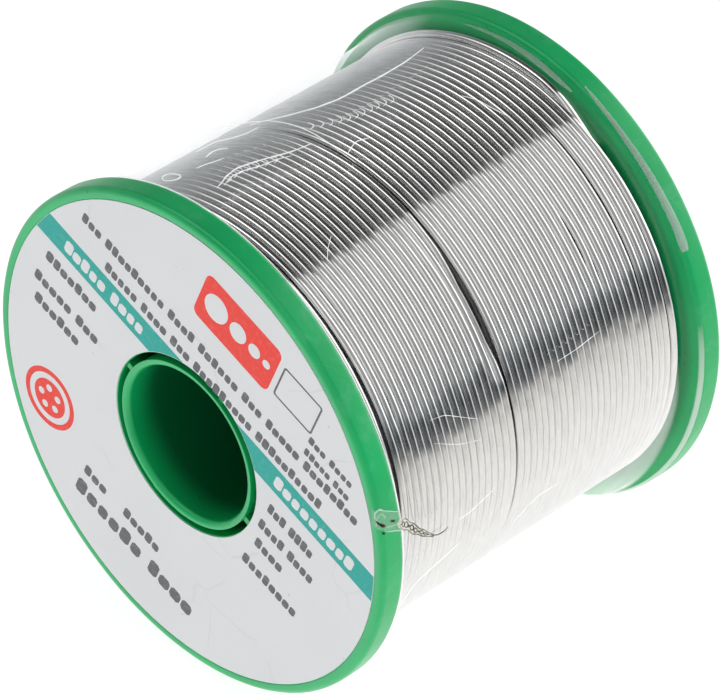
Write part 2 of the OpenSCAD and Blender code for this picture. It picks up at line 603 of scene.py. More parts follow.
@dataclass(frozen=True)
class GreenPlastic(Finish):
    """Moulded green styrene with a fine grain, scuffs, pale rubbed rims, and painted shade by the wire and
    inside the bore.
    """

    colour: Colour = (0.006, 0.50, 0.145)
    rubbed: Colour = (0.18, 0.62, 0.36)
    # Colour of the painted shade by the wire and inside the bore.
    painted_shade: Colour = (0.001, 0.09, 0.03)
    dirt: Colour = (0.01, 0.10, 0.04)
    roughness: float = 0.30
    rim_band: float = 0.9
    bore_zone_r: float = 14.0
    land_depth: float = 0.12

    def dress(self, graph: Graph, shader: Node) -> None:
        """Feeds the shader with mottled green, pale wear, slightly paler outer faces, painted shade by the
        wire and in the bore, and grain.

        Args:
            graph: The material's graph.
            shader: Its shader.
        """
        point, place = graph.point(), self.effects.where.on(graph)
        rim, half = self.effects.places.rim_r / MM, self.effects.places.rear_face / MM / 2
        cloud = graph.remap(graph.noise(point, 70.0), 0.3, 0.7)
        base = graph.mix(cloud, shade(self.colour, 0.92), shade(self.colour, 1.06))
        edge = graph.remap(place.outputs["Radius"], rim - self.rim_band, rim)
        worn = graph.times(edge, graph.remap(graph.noise(point, 420.0, 4.0), 0.50, 0.75))
        scuffs = self.effects.scuffs.on(graph, Scale=190.0, Amount=0.16)
        off_middle = graph.math("ABSOLUTE", graph.minus(place.outputs["Depth"], half))
        face = graph.math("GREATER_THAN", off_middle, half - self.land_depth)
        pale = graph.most(graph.most(graph.times(worn, 0.2), scuffs), graph.times(face, 0.10))
        base = graph.mix(pale, base, self.rubbed)
        # Painted shade: the inner faces by the wire and the bore's inside are darkened in the colour.
        base = graph.mix(self._painted_shade_mask(graph, place, off_middle), base, self.painted_shade)
        specks = self.effects.specks.on(graph, Scale=700.0, Size=0.13)
        base = graph.mix(graph.times(specks, 0.5), base, self.dirt)
        grain = self.effects.turned.on(graph, Along=3.0, Across=0.12)
        rough = graph.plus(graph.times(grain, 0.12), graph.times(pale, 0.2))
        graph.give(shader, Specular_IOR_Level=0.5, Base_Color=base,
                   Roughness=graph.plus(rough, self.roughness - 0.06))
        height = graph.plus(graph.times(graph.noise(point, 1800.0, 2.0), 0.5),
                            graph.times(graph.noise(point, 160.0, 2.0), 1.6))
        graph.bump(shader, graph.minus(height, graph.times(scuffs, 0.6)), 0.22, 0.05 * MM)

    def _painted_shade_mask(self, graph: Graph, place: Node, off_middle: Node) -> Node:
        """Finds where shade is painted: on the inner faces close to the wire and deep inside the bore.

        Args:
            graph: The material's graph.
            place: The group that measures places round the reel.
            off_middle: Distance from the middle of the reel's length, in millimetres.

        Returns:
            A mask of painted shade from 0 to 1.
        """
        places, radius = self.effects.places, place.outputs["Radius"]
        wire_r = places.turns_r / MM
        inner = graph.math("LESS_THAN", off_middle, places.half_gap / MM + 0.05)
        wire = graph.remap(radius, wire_r + 0.3, wire_r + 1.9, 0.5, 0.0)
        depth = graph.remap(graph.minus(places.rear_face / MM / 2, off_middle), 0.4, 5.0)
        bore = graph.times(graph.math("LESS_THAN", radius, self.bore_zone_r), depth)
        return graph.most(graph.times(inner, wire), graph.times(bore, 0.9))


@dataclass(frozen=True)
class SolderAlloy(Finish):
    """Drawn solder wire: bright metal with fine lines along its length."""

    colour: Colour = (0.80, 0.80, 0.79)
    dulled: Colour = (0.62, 0.62, 0.61)
    nicked: Colour = (0.35, 0.35, 0.35)
    roughness: float = 0.085

    def dress(self, graph: Graph, shader: Node) -> None:
        """Feeds the shader with drawn lines, dull bands and small nicks.

        Args:
            graph: The material's graph.
            shader: Its shader.
        """
        lines = self.effects.turned.on(graph, Along=9.0, Across=0.05)
        bands = self.effects.turned.on(graph, Along=2.5, Across=0.5, Seed=7.0)
        dull = graph.times(graph.remap(bands, 0.35, 0.7), graph.remap(lines, 0.3, 0.8))
        nicks = self.effects.specks.on(graph, Scale=900.0, Size=0.10)
        base = graph.mix(dull, self.colour, self.dulled)
        graph.give(shader, Metallic=1.0, Base_Color=graph.mix(graph.times(nicks, 0.25), base, self.nicked),
                   Roughness=graph.plus(graph.times(lines, 0.06), self.roughness - 0.03))
        height = graph.plus(graph.times(lines, 0.6), graph.noise(graph.point(), 260.0, 2.0))
        graph.bump(shader, height, 0.05, 0.01 * MM)


@dataclass(frozen=True)
class Rosin(Finish):
    """Amber flux."""

    colour: Colour = (0.62, 0.36, 0.08)

    def dress(self, graph: Graph, shader: Node) -> None:
        """Feeds the shader with cloudy amber.

        Args:
            graph: The material's graph.
            shader: Its shader.
        """
        cloud = graph.remap(graph.noise(graph.point(), 3000.0), 0.3, 0.7)
        graph.give(shader, Roughness=0.3, Base_Color=graph.mix(cloud, shade(self.colour, 0.7), self.colour))
        graph.bump(shader, cloud, 0.3, 0.02 * MM)


@dataclass(frozen=True)
class LabelPaper(Finish):
    """Coated white paper, with faint fibres and rubbed marks."""

    colour: Colour = (0.80, 0.815, 0.83)
    dirt: Colour = (0.30, 0.30, 0.30)
    roughness: float = 0.42

    def dress(self, graph: Graph, shader: Node) -> None:
        """Feeds the shader with fibres, rubbed marks and specks.

        Args:
            graph: The material's graph.
            shader: Its shader.
        """
        point = graph.point()
        fibres, cloud = graph.noise(point, 2600.0, 4.0), graph.noise(point, 60.0, 2.0)
        tone = graph.plus(graph.times(fibres, 0.35), graph.times(cloud, 0.65))
        base = graph.mix(graph.remap(tone, 0.35, 0.65), shade(self.colour, 0.97), self.colour)
        marks = self.effects.scuffs.on(graph, Scale=120.0, Amount=0.12)
        specks = self.effects.specks.on(graph, Scale=420.0, Size=0.07)
        dirty = graph.most(marks, graph.times(specks, 0.35))
        rough = graph.remap(fibres, 0.3, 0.7, self.roughness - 0.05, self.roughness + 0.05)
        graph.give(shader, Base_Color=graph.mix(dirty, base, self.dirt), Roughness=rough)
        graph.bump(shader, graph.plus(fibres, graph.times(cloud, 3.0)), 0.12, 0.03 * MM)


@dataclass(frozen=True)
class PrintInk(Finish):
    """Printing ink with slightly uneven cover."""

    colour: Colour
    cover: float = 0.10
    roughness: float = 0.40
    paper: float = 0.8

    def dress(self, graph: Graph, shader: Node) -> None:
        """Feeds the shader with ink through which the paper shows in small patches.

        Args:
            graph: The material's graph.
            shader: Its shader.
        """
        point = graph.point()
        patchy = graph.remap(graph.noise(point, 1500.0), 0.45, 0.85, 0.0, self.cover * 2)
        paler = tuple(part + (self.paper - part) * 0.5 for part in self.colour)
        graph.give(shader, Roughness=self.roughness, Specular_IOR_Level=0.3,
                   Base_Color=graph.mix(patchy, self.colour, paler))
        graph.bump(shader, graph.noise(point, 2600.0, 2.0), 0.1, 0.02 * MM)


@dataclass(frozen=True)
class ShrinkFilm(Finish):
    """Clear shrink film: nearly unseen face on, hazy and glossy towards its outline. A painted glow can
    whiten it.
    """

    colour: Colour = (0.93, 0.95, 0.96)
    sheen: float = 0.95
    clear: float = 0.006
    haze: float = 0.50
    falloff: float = 8.0
    # Strength of a painted glow that whitens the film.
    painted_glow: float = 0.0
    roughness: float = 0.08

    def dress(self, graph: Graph, shader: Node) -> None:
        """Feeds the shader with a veil that thickens towards the outline, with drawn streaks, and with a
        painted glow that whitens the film.

        Args:
            graph: The material's graph.
            shader: Its shader.
        """
        facing = graph.node("ShaderNodeLayerWeight", {"Blend": 0.5}).outputs["Facing"]
        veil = graph.times(graph.math("POWER", facing, self.falloff), self.haze)
        streaks = self.effects.turned.on(graph, Along=30.0, Across=1.3, Seed=3.0)
        scuffs = self.effects.scuffs.on(graph, Scale=55.0, Amount=0.5)
        alpha = graph.plus(graph.plus(veil, self.clear), graph.times(scuffs, graph.times(facing, 0.1)))
        crease = graph.node("ShaderNodeAttribute", attribute_name="crease").outputs["Fac"]
        # Emission is a painted glow: it whitens the film, which is no lamp.
        graph.give(shader, Base_Color=self.colour, Metallic=self.sheen, Emission_Color=self.colour,
                   Emission_Strength=self.painted_glow, Alpha=graph.plus(alpha, crease, clamp=True),
                   Roughness=graph.remap(streaks, 0.3, 0.7, self.roughness, self.roughness + 0.1))
        height = graph.plus(graph.times(streaks, 2.0), graph.noise(graph.point(), 220.0))
        graph.bump(shader, height, 0.5, 0.08 * MM)


# --------------------------------------------------------------------------- flanges


@dataclass
class Flange:
    """One moulded flange, drawn finely enough for its rounded rim to take a highlight."""

    places: ReelPlaces
    rim_round: float = 0.8 * MM
    rim_land: float = 1.4 * MM
    recess: float = 0.15 * MM
    seat: float = 1.5 * MM
    hub_r: float = 11.8 * MM
    barrel_r: float = 13.35 * MM
    hub_land: float = 8.0 * MM
    still_r: float = 20.0 * MM
    free_span: float = 12.0 * MM
    edge_round: float = 0.12 * MM
    wobble: float = 0.012 * MM
    steps: int = 360
    sharp: float = 40.0

    def outline(self) -> list[Pair]:
        """Draws the section of a flange.

        Returns:
            Pairs of radius and depth behind its outer face.
        """
        rim, wide, soft = self.places.rim_r, self.places.front_inner, self.edge_round
        middle, land = rim - self.rim_round, rim - self.rim_land
        section = [(self.hub_r, self.recess), (land - soft, self.recess)]
        section += arc((land - soft, self.recess - soft), soft, 90, 0, 2)[1:-1]
        section += arc((land + soft, soft), soft, 180, 270, 4)
        section += arc((middle, self.rim_round), self.rim_round, 270, 360, 12)
        section += arc((middle, wide - self.rim_round), self.rim_round, 0, 90, 12)
        section += [(self.barrel_r + self.hub_land, wide), (self.barrel_r, wide),
                    (self.barrel_r, wide - self.seat), (self.hub_r, wide - self.seat)]
        return section

    def build(self, name: str, node: str, rear: bool, material: Material) -> Object:
        """Makes the flange.

        Args:
            name: The piece's name.
            node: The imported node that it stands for.
            rear: Whether it is the plain flange at the back.
            material: Its plastic.

        Returns:
            The piece.
        """
        section = self.outline()
        if rear:
            section = [(radius, self.places.rear_face - depth) for radius, depth in section[::-1]]
        ripple = waves(11 if rear else 5, 5, 120.0, 17.0)

        def wobble(angle: Array, radius: Array) -> Array:
            """Slight unevenness of the moulded rim, which is nil at the hub."""
            share = np.clip((radius - self.still_r) / self.free_span, 0, 1)
            return -self.wobble * share * (1 + np.clip(ripple(angle), -1, 1))

        piece = lathe(name, self.places, section, self.steps, wobble)
        piece.data.set_sharp_from_angle(angle=math.radians(self.sharp))
        piece.visible_glossy = False
        return finish_piece(piece, material, replaces=(node,))


# --------------------------------------------------------------------------- wire


def wrapped(angle: Array) -> Array:
    """Brings angles into the range from -180 to 180 degrees."""
    return (angle + 180) % 360 - 180


@dataclass(frozen=True)
class Opening:
    """A place where two turns stand apart: after which turn, how wide, and over which angles."""

    turn: int
    width: float
    angles: tuple[float, ...]
    shares: tuple[float, ...]
    fade: float = 0.5

    def push(self, turn: Array, angle: Array) -> Array:
        """Pushes the turns on both sides of it apart, except the first two turns.

        Args:
            turn: Numbers of the turns.
            angle: Degrees round the reel.

        Returns:
            How far each turn moves along the reel at each angle.
        """
        beyond = turn - self.turn - 0.5
        share = np.where(turn > 1, self.fade ** np.abs(beyond) * np.sign(beyond), 0.0)
        return 0.6 * self.width * np.interp(angle, self.angles, self.shares) * share


@dataclass(frozen=True)
class Sunk:
    """A turn that lies deeper than its layer, by a share of its depth at each angle."""

    turn: int
    depth: float
    angles: tuple[float, ...]
    shares: tuple[float, ...]

    def at(self, angle: Array) -> Array:
        """How deep the turn lies at an angle."""
        return self.depth * np.interp(angle, self.angles, self.shares)


@dataclass(frozen=True)
class Ripple:
    """A band along the reel where the wire's surface tips, by degrees at depths in millimetres."""

    angle: float
    half: float
    tips: tuple[Pair, ...]
    settled: float = 118.0

    def at(self, angle: Array, place: Array) -> Array:
        """Tips the surface inside the band and brings it back behind it.

        Args:
            angle: Degrees round the reel.
            place: Depth in millimetres.

        Returns:
            Change of radius, as a share of the radius.
        """
        knots = np.array(self.tips)
        tip = np.radians(np.interp(place, knots[:, 0], knots[:, 1]))
        across = np.clip(angle - self.angle, -self.half, self.half)
        eased = self.half / (2 * math.pi) * np.sin(math.pi * across / self.half)
        turned = np.radians((across + self.half) / 2 + eased)
        return -tip * turned * (1 - smooth_step(self.angle + self.half, self.settled, angle))


@dataclass
class Winding:
    """The outer layer of wire as one unbroken tube, and the layers that show under it."""

    places: ReelPlaces
    wire_d: float = 1.02 * MM
    turns: int = 46
    sides: int = 14
    end_angle: float = -105.0
    stretches: tuple[tuple[float, int], ...] = ((-50.0, 13), (120.0, 107), (255.0, 30))
    loose_gap: float = 0.06 * MM
    under_film: float = 0.06 * MM
    swell: float = 0.010 * MM
    jitter: float = 0.005 * MM
    climb_end: float = 40.0
    drum_r: float = 28.35 * MM
    barrel_r: float = 13.4 * MM
    drum_gap: float = 0.05 * MM
    drum_steps: int = 120
    crest_angles: tuple[float, ...] = (12, 40, 65, 90, 115, 140, 168)
    sharp: float = 50.0
    spare: tuple[Pair, ...] = (
        (0.0, 0.0), (2.3, 0.02), (4.3, 0.14), (8.3, 0.20), (12.3, 0.20), (16.3, 0.37), (18.3, 0.44),
        (19.8, 0.44), (20.08, 0.62), (21.3, 0.66), (33.3, 0.73), (35.3, 0.77), (41.8, 0.80), (42.1, 0.90),
        (44.3, 0.90), (45.3, 0.94), (46.0, 0.94))
    openings: tuple[Opening, ...] = (
        Opening(1, 0.95 * MM, (-12, 10, 24, 40, 60, 75, 86, 100), (0, 0.3, 0.5, 0.7, 1, 0.9, 0.4, 0), 0.72),
        Opening(3, 0.14 * MM, (24, 32, 40, 52, 60, 66), (0, 1, 0.2, 0.3, 1, 0)),
        Opening(4, 0.12 * MM, (26, 32, 44, 50, 55), (0, 0.8, 0, 0.8, 0)),
        Opening(18, 0.24 * MM, (-10, 10, 30, 46, 58, 68, 130), (0, 0.2, 0.4, 1, 1, 0.05, 0)),
        Opening(35, 0.20 * MM, (40, 46, 52, 58), (0, 1, 0.9, 0)),
        Opening(36, 0.14 * MM, (52, 56, 62), (0, 1, 0)),
        Opening(41, 0.14 * MM, (15, 26, 62, 75), (0, 1, 0.7, 0)),
        Opening(43, 0.10 * MM, (30, 44, 66), (0, 0.8, 0)),
        Opening(44, 0.16 * MM, (-20, 0, 14, 30, 60, 90), (0, 0.6, 1, 0.2, 0.6, 1)),
    )
    sunk: tuple[Sunk, ...] = (
        Sunk(18, 0.32 * MM, (-40, 0, 24, 38, 50, 60, 68), (0, 0.5, 0.5, 0.7, 1, 0.9, 0)),
        Sunk(19, 0.96 * MM, (-70, -30, 24, 34, 44, 58, 63, 68, 130),
             (0, 0.16, 0.16, 0.36, 1, 1, 0.5, 0.14, 0.1)),
    )
    ripples: tuple[Ripple, ...] = (
        Ripple(63.5, 4.6, ((6, 0.6), (11, -0.6), (13.3, -2.4), (15.1, -0.4), (16.5, 0.5), (19.4, -1.6),
                           (20.8, 0.9), (22.4, 2.3), (24.7, 0.4), (26.6, 0.6), (28.8, -0.6), (29.8, 1.4),
                           (31.8, 0.3), (34.5, -0.2), (36.4, 1.7), (38.7, 1.1), (41.1, 1.9), (42.9, 1.0),
                           (45.7, 1.1), (47.1, 2.3), (49.5, 2.7), (51.4, 1.1))),
        Ripple(71.8, 4.0, ((8.1, -0.1), (12.6, -1.7), (16.3, -1.4), (19.2, 0.1), (21.4, 0.3), (24.5, 0.2),
                           (27.5, 0.2), (30.8, 0.9), (35.1, -0.8), (37.3, 1.7), (41.5, 1.6), (45.6, 0.4),
                           (49.6, -0.8))),
    )

    def angles(self) -> Array:
        """Steps round one turn, closest where it shows.

        Returns:
            Angles from the turn's start to the next turn's.
        """
        row, start = [np.array([self.end_angle])], self.end_angle
        for end, steps in self.stretches:
            row.append(np.linspace(start, end, steps + 1)[1:])
            start = end
        return np.concatenate(row)

    def depths(self) -> Array:
        """Depth of every step of the tube, as a row for every turn.

        The turns climb evenly. Spare room between them is met a little at a time, most of it at
        the groove, and a small opening only pushes its neighbours aside.

        Returns:
            One depth for each turn and step.
        """
        angle = self.angles()
        share = (angle - angle[0]) / 360.0
        turn = np.arange(self.turns)[:, None]
        start = self.places.front_inner + self.wire_d / 2 + self.loose_gap
        end = self.places.rear_inner - self.wire_d / 2 - self.loose_gap
        knots = np.array(self.spare)
        room = (end - start - self.wire_d * self.turns) / knots[-1, 1]
        placed = turn + share
        table = start + self.wire_d * placed + room * np.interp(placed, knots[:, 0], knots[:, 1])
        for opening in self.openings:
            table = table + opening.push(turn, wrapped(angle))
        return table

    def path(self) -> Array:
        """Traces the tube's middle, from the loose end's side to the rear.

        Returns:
            Its points.
        """
        table, angle = self.depths(), self.angles()
        seen, place = wrapped(angle), table / MM
        deep = np.zeros_like(table)
        for sunk in self.sunk:
            deep[sunk.turn] += sunk.at(seen)
        lift = waves(91, 5, 80.0, 22.0)(seen + 9.0 * place) * self.swell
        radius = self.places.turns_r - self.wire_d / 2 - self.under_film + lift - deep
        for ripple in self.ripples:
            radius = radius * (1 + ripple.at(seen, place))
        uneven = smooth_step(52, 60, seen) * (1 - smooth_step(76, 82, seen))
        uneven = smooth_step(-60, -30, seen) + 1.2 * uneven
        for number, row in enumerate(radius):
            row += waves(500 + number, 4, 13.0, 4.0)(seen) * self.jitter * uneven
        climb = self.climb(table[-1], angle, radius[-1, -1])
        depth = np.concatenate([table[:, :-1].reshape(-1), np.full(len(climb), table[-1, -1])])
        radius = np.concatenate([radius[:, :-1].reshape(-1), climb])
        angle = np.concatenate([(angle[None, :-1] + 360 * np.arange(self.turns)[:, None]).reshape(-1),
                                angle[:len(climb)] + 360 * self.turns])
        points = self.places.points(radius, angle, depth)
        return np.concatenate([self.lead(points[0]), points])

    def lead(self, start: Array) -> Array:
        """Begins the tube from the side of the loose end.

        Args:
            start: First point of the turns.

        Returns:
            Points that come before it.
        """
        low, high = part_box("free_end")
        toward = np.array((low + high) / 2) - start
        toward /= np.linalg.norm(toward)
        return start + toward * (self.wire_d * np.array([[1.0], [0.66], [0.33]]))

    def climb(self, under: Array, angle: Array, level: float) -> Array:
        """Shapes the last stretch, which rides up between the last turn and the flange and dips again.

        Args:
            under: Depths of the last turn, which it lies against.
            angle: Angles of the steps of a turn.
            level: Radius where it begins.

        Returns:
            Its radius at every step up to its end.
        """
        shown = angle[angle < self.climb_end]
        apart = np.minimum(under[-1] - under[:len(shown)], self.wire_d)
        ride = np.sqrt(np.maximum((1.01 * self.wire_d) ** 2 - apart ** 2, 0))
        ride = ride * smooth_step(self.end_angle, -70, shown) * (1 - smooth_step(10, 30, shown))
        return level + ride - self.wire_d * 1.15 * smooth_step(16, 38, shown)

    def build_turns(self, material: Material) -> Object:
        """Makes the tube of the outer layer.

        Args:
            material: Its alloy.

        Returns:
            The piece.
        """
        route = self.path()
        run = np.concatenate([[0], np.cumsum(np.linalg.norm(np.diff(route, axis=0), axis=1))])
        along = unit(np.gradient(route, run, axis=0))
        side = unit(np.cross(along, self.places.away(route)))
        up = np.cross(side, along)
        turn = np.linspace(0, 2 * math.pi, self.sides, endpoint=False)[None, :, None]
        rings = route[:, None] + self.wire_d / 2 * (np.cos(turn) * up[:, None] + np.sin(turn) * side[:, None])
        faces = grid_faces(len(route), self.sides)
        last = (len(route) - 1) * self.sides
        faces += [list(range(self.sides))[::-1], list(range(last, last + self.sides))]
        piece = make_object("solder_turns", rings, faces)
        return finish_piece(piece, material, replaces=("outer_turns",))

    def build_drum(self, material: Material) -> Object:
        """Makes the layers under the outer one, with the crests of their turns.

        Args:
            material: Their alloy.

        Returns:
            The piece.
        """
        crest = self.wire_d / 2
        first = self.places.front_inner + self.drum_gap
        outline = [(self.barrel_r, first)]
        for number in range(int(2 * self.places.half_gap / self.wire_d)):
            middle = first + crest + number * self.wire_d
            outline += [(self.drum_r - crest + crest * math.sin(turn), middle - crest * math.cos(turn))
                        for turn in np.radians(self.crest_angles)]
        outline.append((self.barrel_r, outline[-1][1]))
        piece = lathe("inner_layers", self.places, outline, self.drum_steps)
        piece.data.set_sharp_from_angle(angle=math.radians(self.sharp))
        return finish_piece(piece, material, replaces=("winding_core",))


# --------------------------------------------------------------------------- label


@dataclass(frozen=True)
class WordRow:
    """A row of blocks that stand for words, in millimetres on the label.

    Its ends are given as across and up, halfway up its blocks. Words holds the number of blocks
    in each word, and height is that of the tall blocks.
    """

    first: Pair
    last: Pair
    words: tuple[int, ...]
    height: float = 1.6


@dataclass
class LabelPrint:
    """The label's printed design: a stripe, blocks in place of words, and plain round marks."""

    places: ReelPlaces
    effects: Effects
    tilt: float = -23.06
    hole_r: float = 11.9 * MM
    stripe_offset: float = 9.13 * MM
    stripe_width: float = 3.64 * MM
    margin: float = 0.05 * MM
    lift: float = 0.012 * MM
    word_gap: float = 0.6
    teal: Colour = (0.012, 0.42, 0.36)
    grey: Colour = (0.13, 0.13, 0.14)
    red: Colour = (0.93, 0.050, 0.032)
    white: Colour = (0.80, 0.81, 0.82)
    rows: tuple[WordRow, ...] = (
        WordRow((-16.6, 24.2), (28.3, 4.9), (3, 9, 4, 6, 3, 5, 8), 1.5),
        WordRow((-13.0, 18.9), (22.6, 4.1), (5, 4, 3, 9, 10), 1.5),
        WordRow((-23.3, 15.3), (-14.9, 11.5), (7,)),
        WordRow((-25.5, 11.7), (-14.9, 6.7), (5, 3)),
        WordRow((-25.7, 8.2), (-18.3, 4.7), (6,)),
        WordRow((20.7, 12.9), (27.4, 9.5), (3, 4), 1.15),
        WordRow((19.9, 10.8), (26.9, 7.5), (5, 3), 1.15),
        WordRow((13.8, -1.0), (21.0, -4.2), (3, 4)),
        WordRow((12.2, -4.1), (21.0, -7.9), (4, 4)),
        WordRow((11.5, -7.3), (16.0, -9.2), (4,)),
        WordRow((9.3, -10.9), (18.2, -14.5), (8,)),
        WordRow((-18.2, -13.6), (-14.3, -15.3), (3,)),
        WordRow((-11.4, -16.3), (-5.2, -18.8), (5,)),
        WordRow((-19.8, -16.6), (0.3, -25.2), (6, 4), 2.4),
    )
    stripe_rows: tuple[tuple[float, float, tuple[int, ...]], ...] = (
        (-25.5, -11.2, (5, 4)), (12.3, 26.2, (9,)))
    stripe_height: float = 1.9
    size_mark: Pair = (9.2, 21.3)
    size_discs: tuple[float, ...] = (1.9, 1.35, 0.95, 0.6)
    core_mark: Pair = (-24.0, -6.5)
    cores: int = 5
    box: Pair = (18.9, 17.0)

    def place(self, along: Array, up: Array) -> tuple[Array, Array]:
        """Turns places along and above the middle of the tilted design into places on the label."""
        cos, sin = math.cos(math.radians(self.tilt)), math.sin(math.radians(self.tilt))
        return along * cos - up * sin, along * sin + up * cos

    def prism(self, name: str, outlines: list[Array], material: Material,
              layer: int = 0) -> Object:
        """Prints flat outlines as one thin raised piece.

        Args:
            name: The piece's name.
            outlines: Closed outlines, each as rows of across and up, in metres.
            material: Its ink.
            layer: How many layers of ink lie under it.

        Returns:
            The piece.
        """
        vertices, faces = [], []
        for outline in outlines:
            start, count = len(vertices), len(outline)
            for depth in (self.lift * 0.4, -self.lift * (layer + 1)):
                vertices += [(x, self.places.face_y + depth, self.places.axis_z + z) for x, z in outline]
            faces.append([start + k for k in range(count)])
            faces.append([start + count + k for k in range(count)][::-1])
            faces += [[start + k, start + count + k, start + count + (k + 1) % count, start + (k + 1) % count]
                      for k in range(count)]
        piece = make_object(name, np.array(vertices), faces, smooth=False)
        return finish_piece(piece, material)

    def on_stripe(self, along: float) -> Pair:
        """Across and up, in millimetres, of a place along the middle of the stripe."""
        across, up = self.place(np.array(along), np.array(self.stripe_offset / MM))
        return float(across), float(up)

    def stripe(self, side: int) -> Array:
        """Draws half of the stripe, cut off by the label's edge and by its hole.

        Args:
            side: -1 for the left half and 1 for the right one.

        Returns:
            Its outline.
        """
        level = np.linspace(-0.5, 0.5, 24) * self.stripe_width + self.stripe_offset
        inner = np.sqrt((self.hole_r + self.margin) ** 2 - level ** 2)
        outer = np.sqrt((self.places.label_r - self.margin) ** 2 - level ** 2)
        along = np.concatenate([inner, outer[::-1]]) * side
        return np.stack(self.place(along, np.concatenate([level, level[::-1]])), axis=-1)

    def block(self, left: float, low: float, wide: float, high: float) -> Array:
        """Draws a small upright block with cut corners, in the tilted design's own directions.

        Args:
            left: Where it begins along the design, in millimetres.
            low: Its lower edge.
            wide: Its width.
            high: Its height.

        Returns:
            Its outline.
        """
        cut = 0.22 * min(wide, high)
        points = [(left + cut, low), (left + wide - cut, low), (left + wide, low + cut),
                  (left + wide, low + high - cut), (left + wide - cut, low + high), (left + cut, low + high),
                  (left, low + high - cut), (left, low + cut)]
        along, up = np.array(points).T * MM
        return np.stack(self.place(along, up), axis=-1)

    def blocks(self, row: WordRow) -> list[Array]:
        """Draws a row of blocks.

        Args:
            row: The row.

        Returns:
            The outlines of its blocks.
        """
        cos, sin = math.cos(math.radians(self.tilt)), math.sin(math.radians(self.tilt))
        ends = [(x * cos + y * sin, -x * sin + y * cos) for x, y in (row.first, row.last)]
        start, length = ends[0][0], ends[1][0] - ends[0][0]
        low = (ends[0][1] + ends[1][1]) / 2 - row.height / 2
        draw = np.random.default_rng(int(1000 * (start + 50)))
        pitch = length / (sum(row.words) + self.word_gap * (len(row.words) - 1))
        drawn = []
        for word in row.words:
            for letter in range(word):
                tall = letter == 0 or draw.random() < 0.25
                wide = pitch * draw.uniform(0.76, 0.90)
                high = row.height * (1.0 if tall else 0.76)
                drawn.append(self.block(start + (pitch - wide) / 2, low, wide, high))
                start += pitch
            start += self.word_gap * pitch
        return drawn

    def disc(self, x: float, y: float, radius: float, steps: int = 48) -> Array:
        """A disc at a place on the untilted label, in millimetres."""
        turn = np.linspace(0, 2 * math.pi, steps, endpoint=False)
        return np.stack([x + radius * np.cos(turn), y + radius * np.sin(turn)], axis=-1) * MM

    def ring(self, x: float, y: float, radius: float, width: float, parts: int = 36) -> list[Array]:
        """Draws a ring as a row of short pieces that meet.

        Args:
            x: Across the label, in millimetres.
            y: Up the label.
            radius: Its outer radius.
            width: How wide its line is.
            parts: Number of pieces.

        Returns:
            The outlines of the pieces.
        """
        turn = np.linspace(0, 2 * math.pi, parts * 2 + 1)
        radii = np.concatenate([np.full(3, radius), np.full(3, radius - width)])
        pieces = []
        for part in range(parts):
            angles = turn[2 * part:2 * part + 3]
            angles = np.concatenate([angles, angles[::-1]])
            pieces.append(np.stack([x + radii * np.cos(angles), y + radii * np.sin(angles)], axis=-1) * MM)
        return pieces

    def panel(self, x: float, y: float, wide: float, high: float, corner: float) -> Array:
        """Draws a tilted panel with rounded corners.

        Args:
            x: Its middle across the label, in millimetres.
            y: Its middle up the label.
            wide: Its width.
            high: Its height.
            corner: Radius of its corners.

        Returns:
            Its outline.
        """
        points = []
        for right, top, first in ((1, 1, 0), (-1, 1, 90), (-1, -1, 180), (1, -1, 270)):
            for turn in np.radians(np.linspace(first, first + 90, 7)):
                points.append((right * (wide / 2 - corner) + corner * math.cos(turn),
                               top * (high / 2 - corner) + corner * math.sin(turn)))
        along, up = np.array(points).T
        across, above = self.place(along, up)
        return np.stack([x + across, y + above], axis=-1) * MM

    def discs_in_row(self) -> list[Array]:
        """Draws the row of shrinking discs on the red panel.

        Returns:
            Their outlines.
        """
        start, discs = -5.6, []
        for size in self.size_discs:
            across, above = self.place(np.array(start + size), np.array(0.0))
            discs.append(self.disc(self.size_mark[0] + across, self.size_mark[1] + above, size))
            start += 2 * size + 0.55
        return discs

    def frame_lines(self) -> list[Array]:
        """Draws the empty box as the strips between two outlines.

        Returns:
            The outlines of the strips.
        """
        outer, inner = self.panel(*self.box, 6.6, 5.2, 0.4), self.panel(*self.box, 6.1, 4.7, 0.25)
        count = len(outer)
        return [np.array([outer[k], outer[(k + 1) % count], inner[(k + 1) % count], inner[k]])
                for k in range(count)]

    def build(self) -> None:
        """Prints the whole design."""
        teal = PrintInk(self.effects, self.teal).material("teal_ink")
        grey = PrintInk(self.effects, self.grey, cover=0.2).material("grey_ink")
        red = PrintInk(self.effects, self.red).material("red_ink")
        white = PrintInk(self.effects, self.white).material("bare_paper_mark")
        self.prism("label_stripe", [self.stripe(-1), self.stripe(1)], teal)
        on_stripe = [WordRow(self.on_stripe(first), self.on_stripe(last), words, self.stripe_height)
                     for first, last, words in self.stripe_rows]
        self.prism("label_stripe_words", [block for row in on_stripe for block in self.blocks(row)], white, 1)
        self.prism("label_words", [block for row in self.rows for block in self.blocks(row)], grey)
        self.prism("label_wire_sizes_panel", [self.panel(*self.size_mark, 13.0, 7.4, 1.0)], red)
        self.prism("label_wire_sizes", self.discs_in_row(), white, 1)
        x, y = self.core_mark
        self.prism("label_core_mark", self.ring(x, y, 4.3, 0.75) + [self.disc(x, y, 2.7)], red)
        dots = [self.disc(x + 1.5 * math.sin(turn), y + 1.5 * math.cos(turn), 0.5, 24)
                for turn in np.radians(np.arange(self.cores) * 360 / self.cores)]
        self.prism("label_core_mark_dots", dots, white, 1)
        self.prism("label_write_in_box", self.frame_lines(), grey)


# --------------------------------------------------------------------------- film


@dataclass(frozen=True)
class Crease:
    """A crease of the film, whose places are a depth and an angle.

    Its width, its height and how far it is lifted off the film are in millimetres, like the depths.
    """

    name: str
    places: tuple[Pair, ...]
    width: float = 0.28
    height: float = 0.06
    lift: float = 0.0


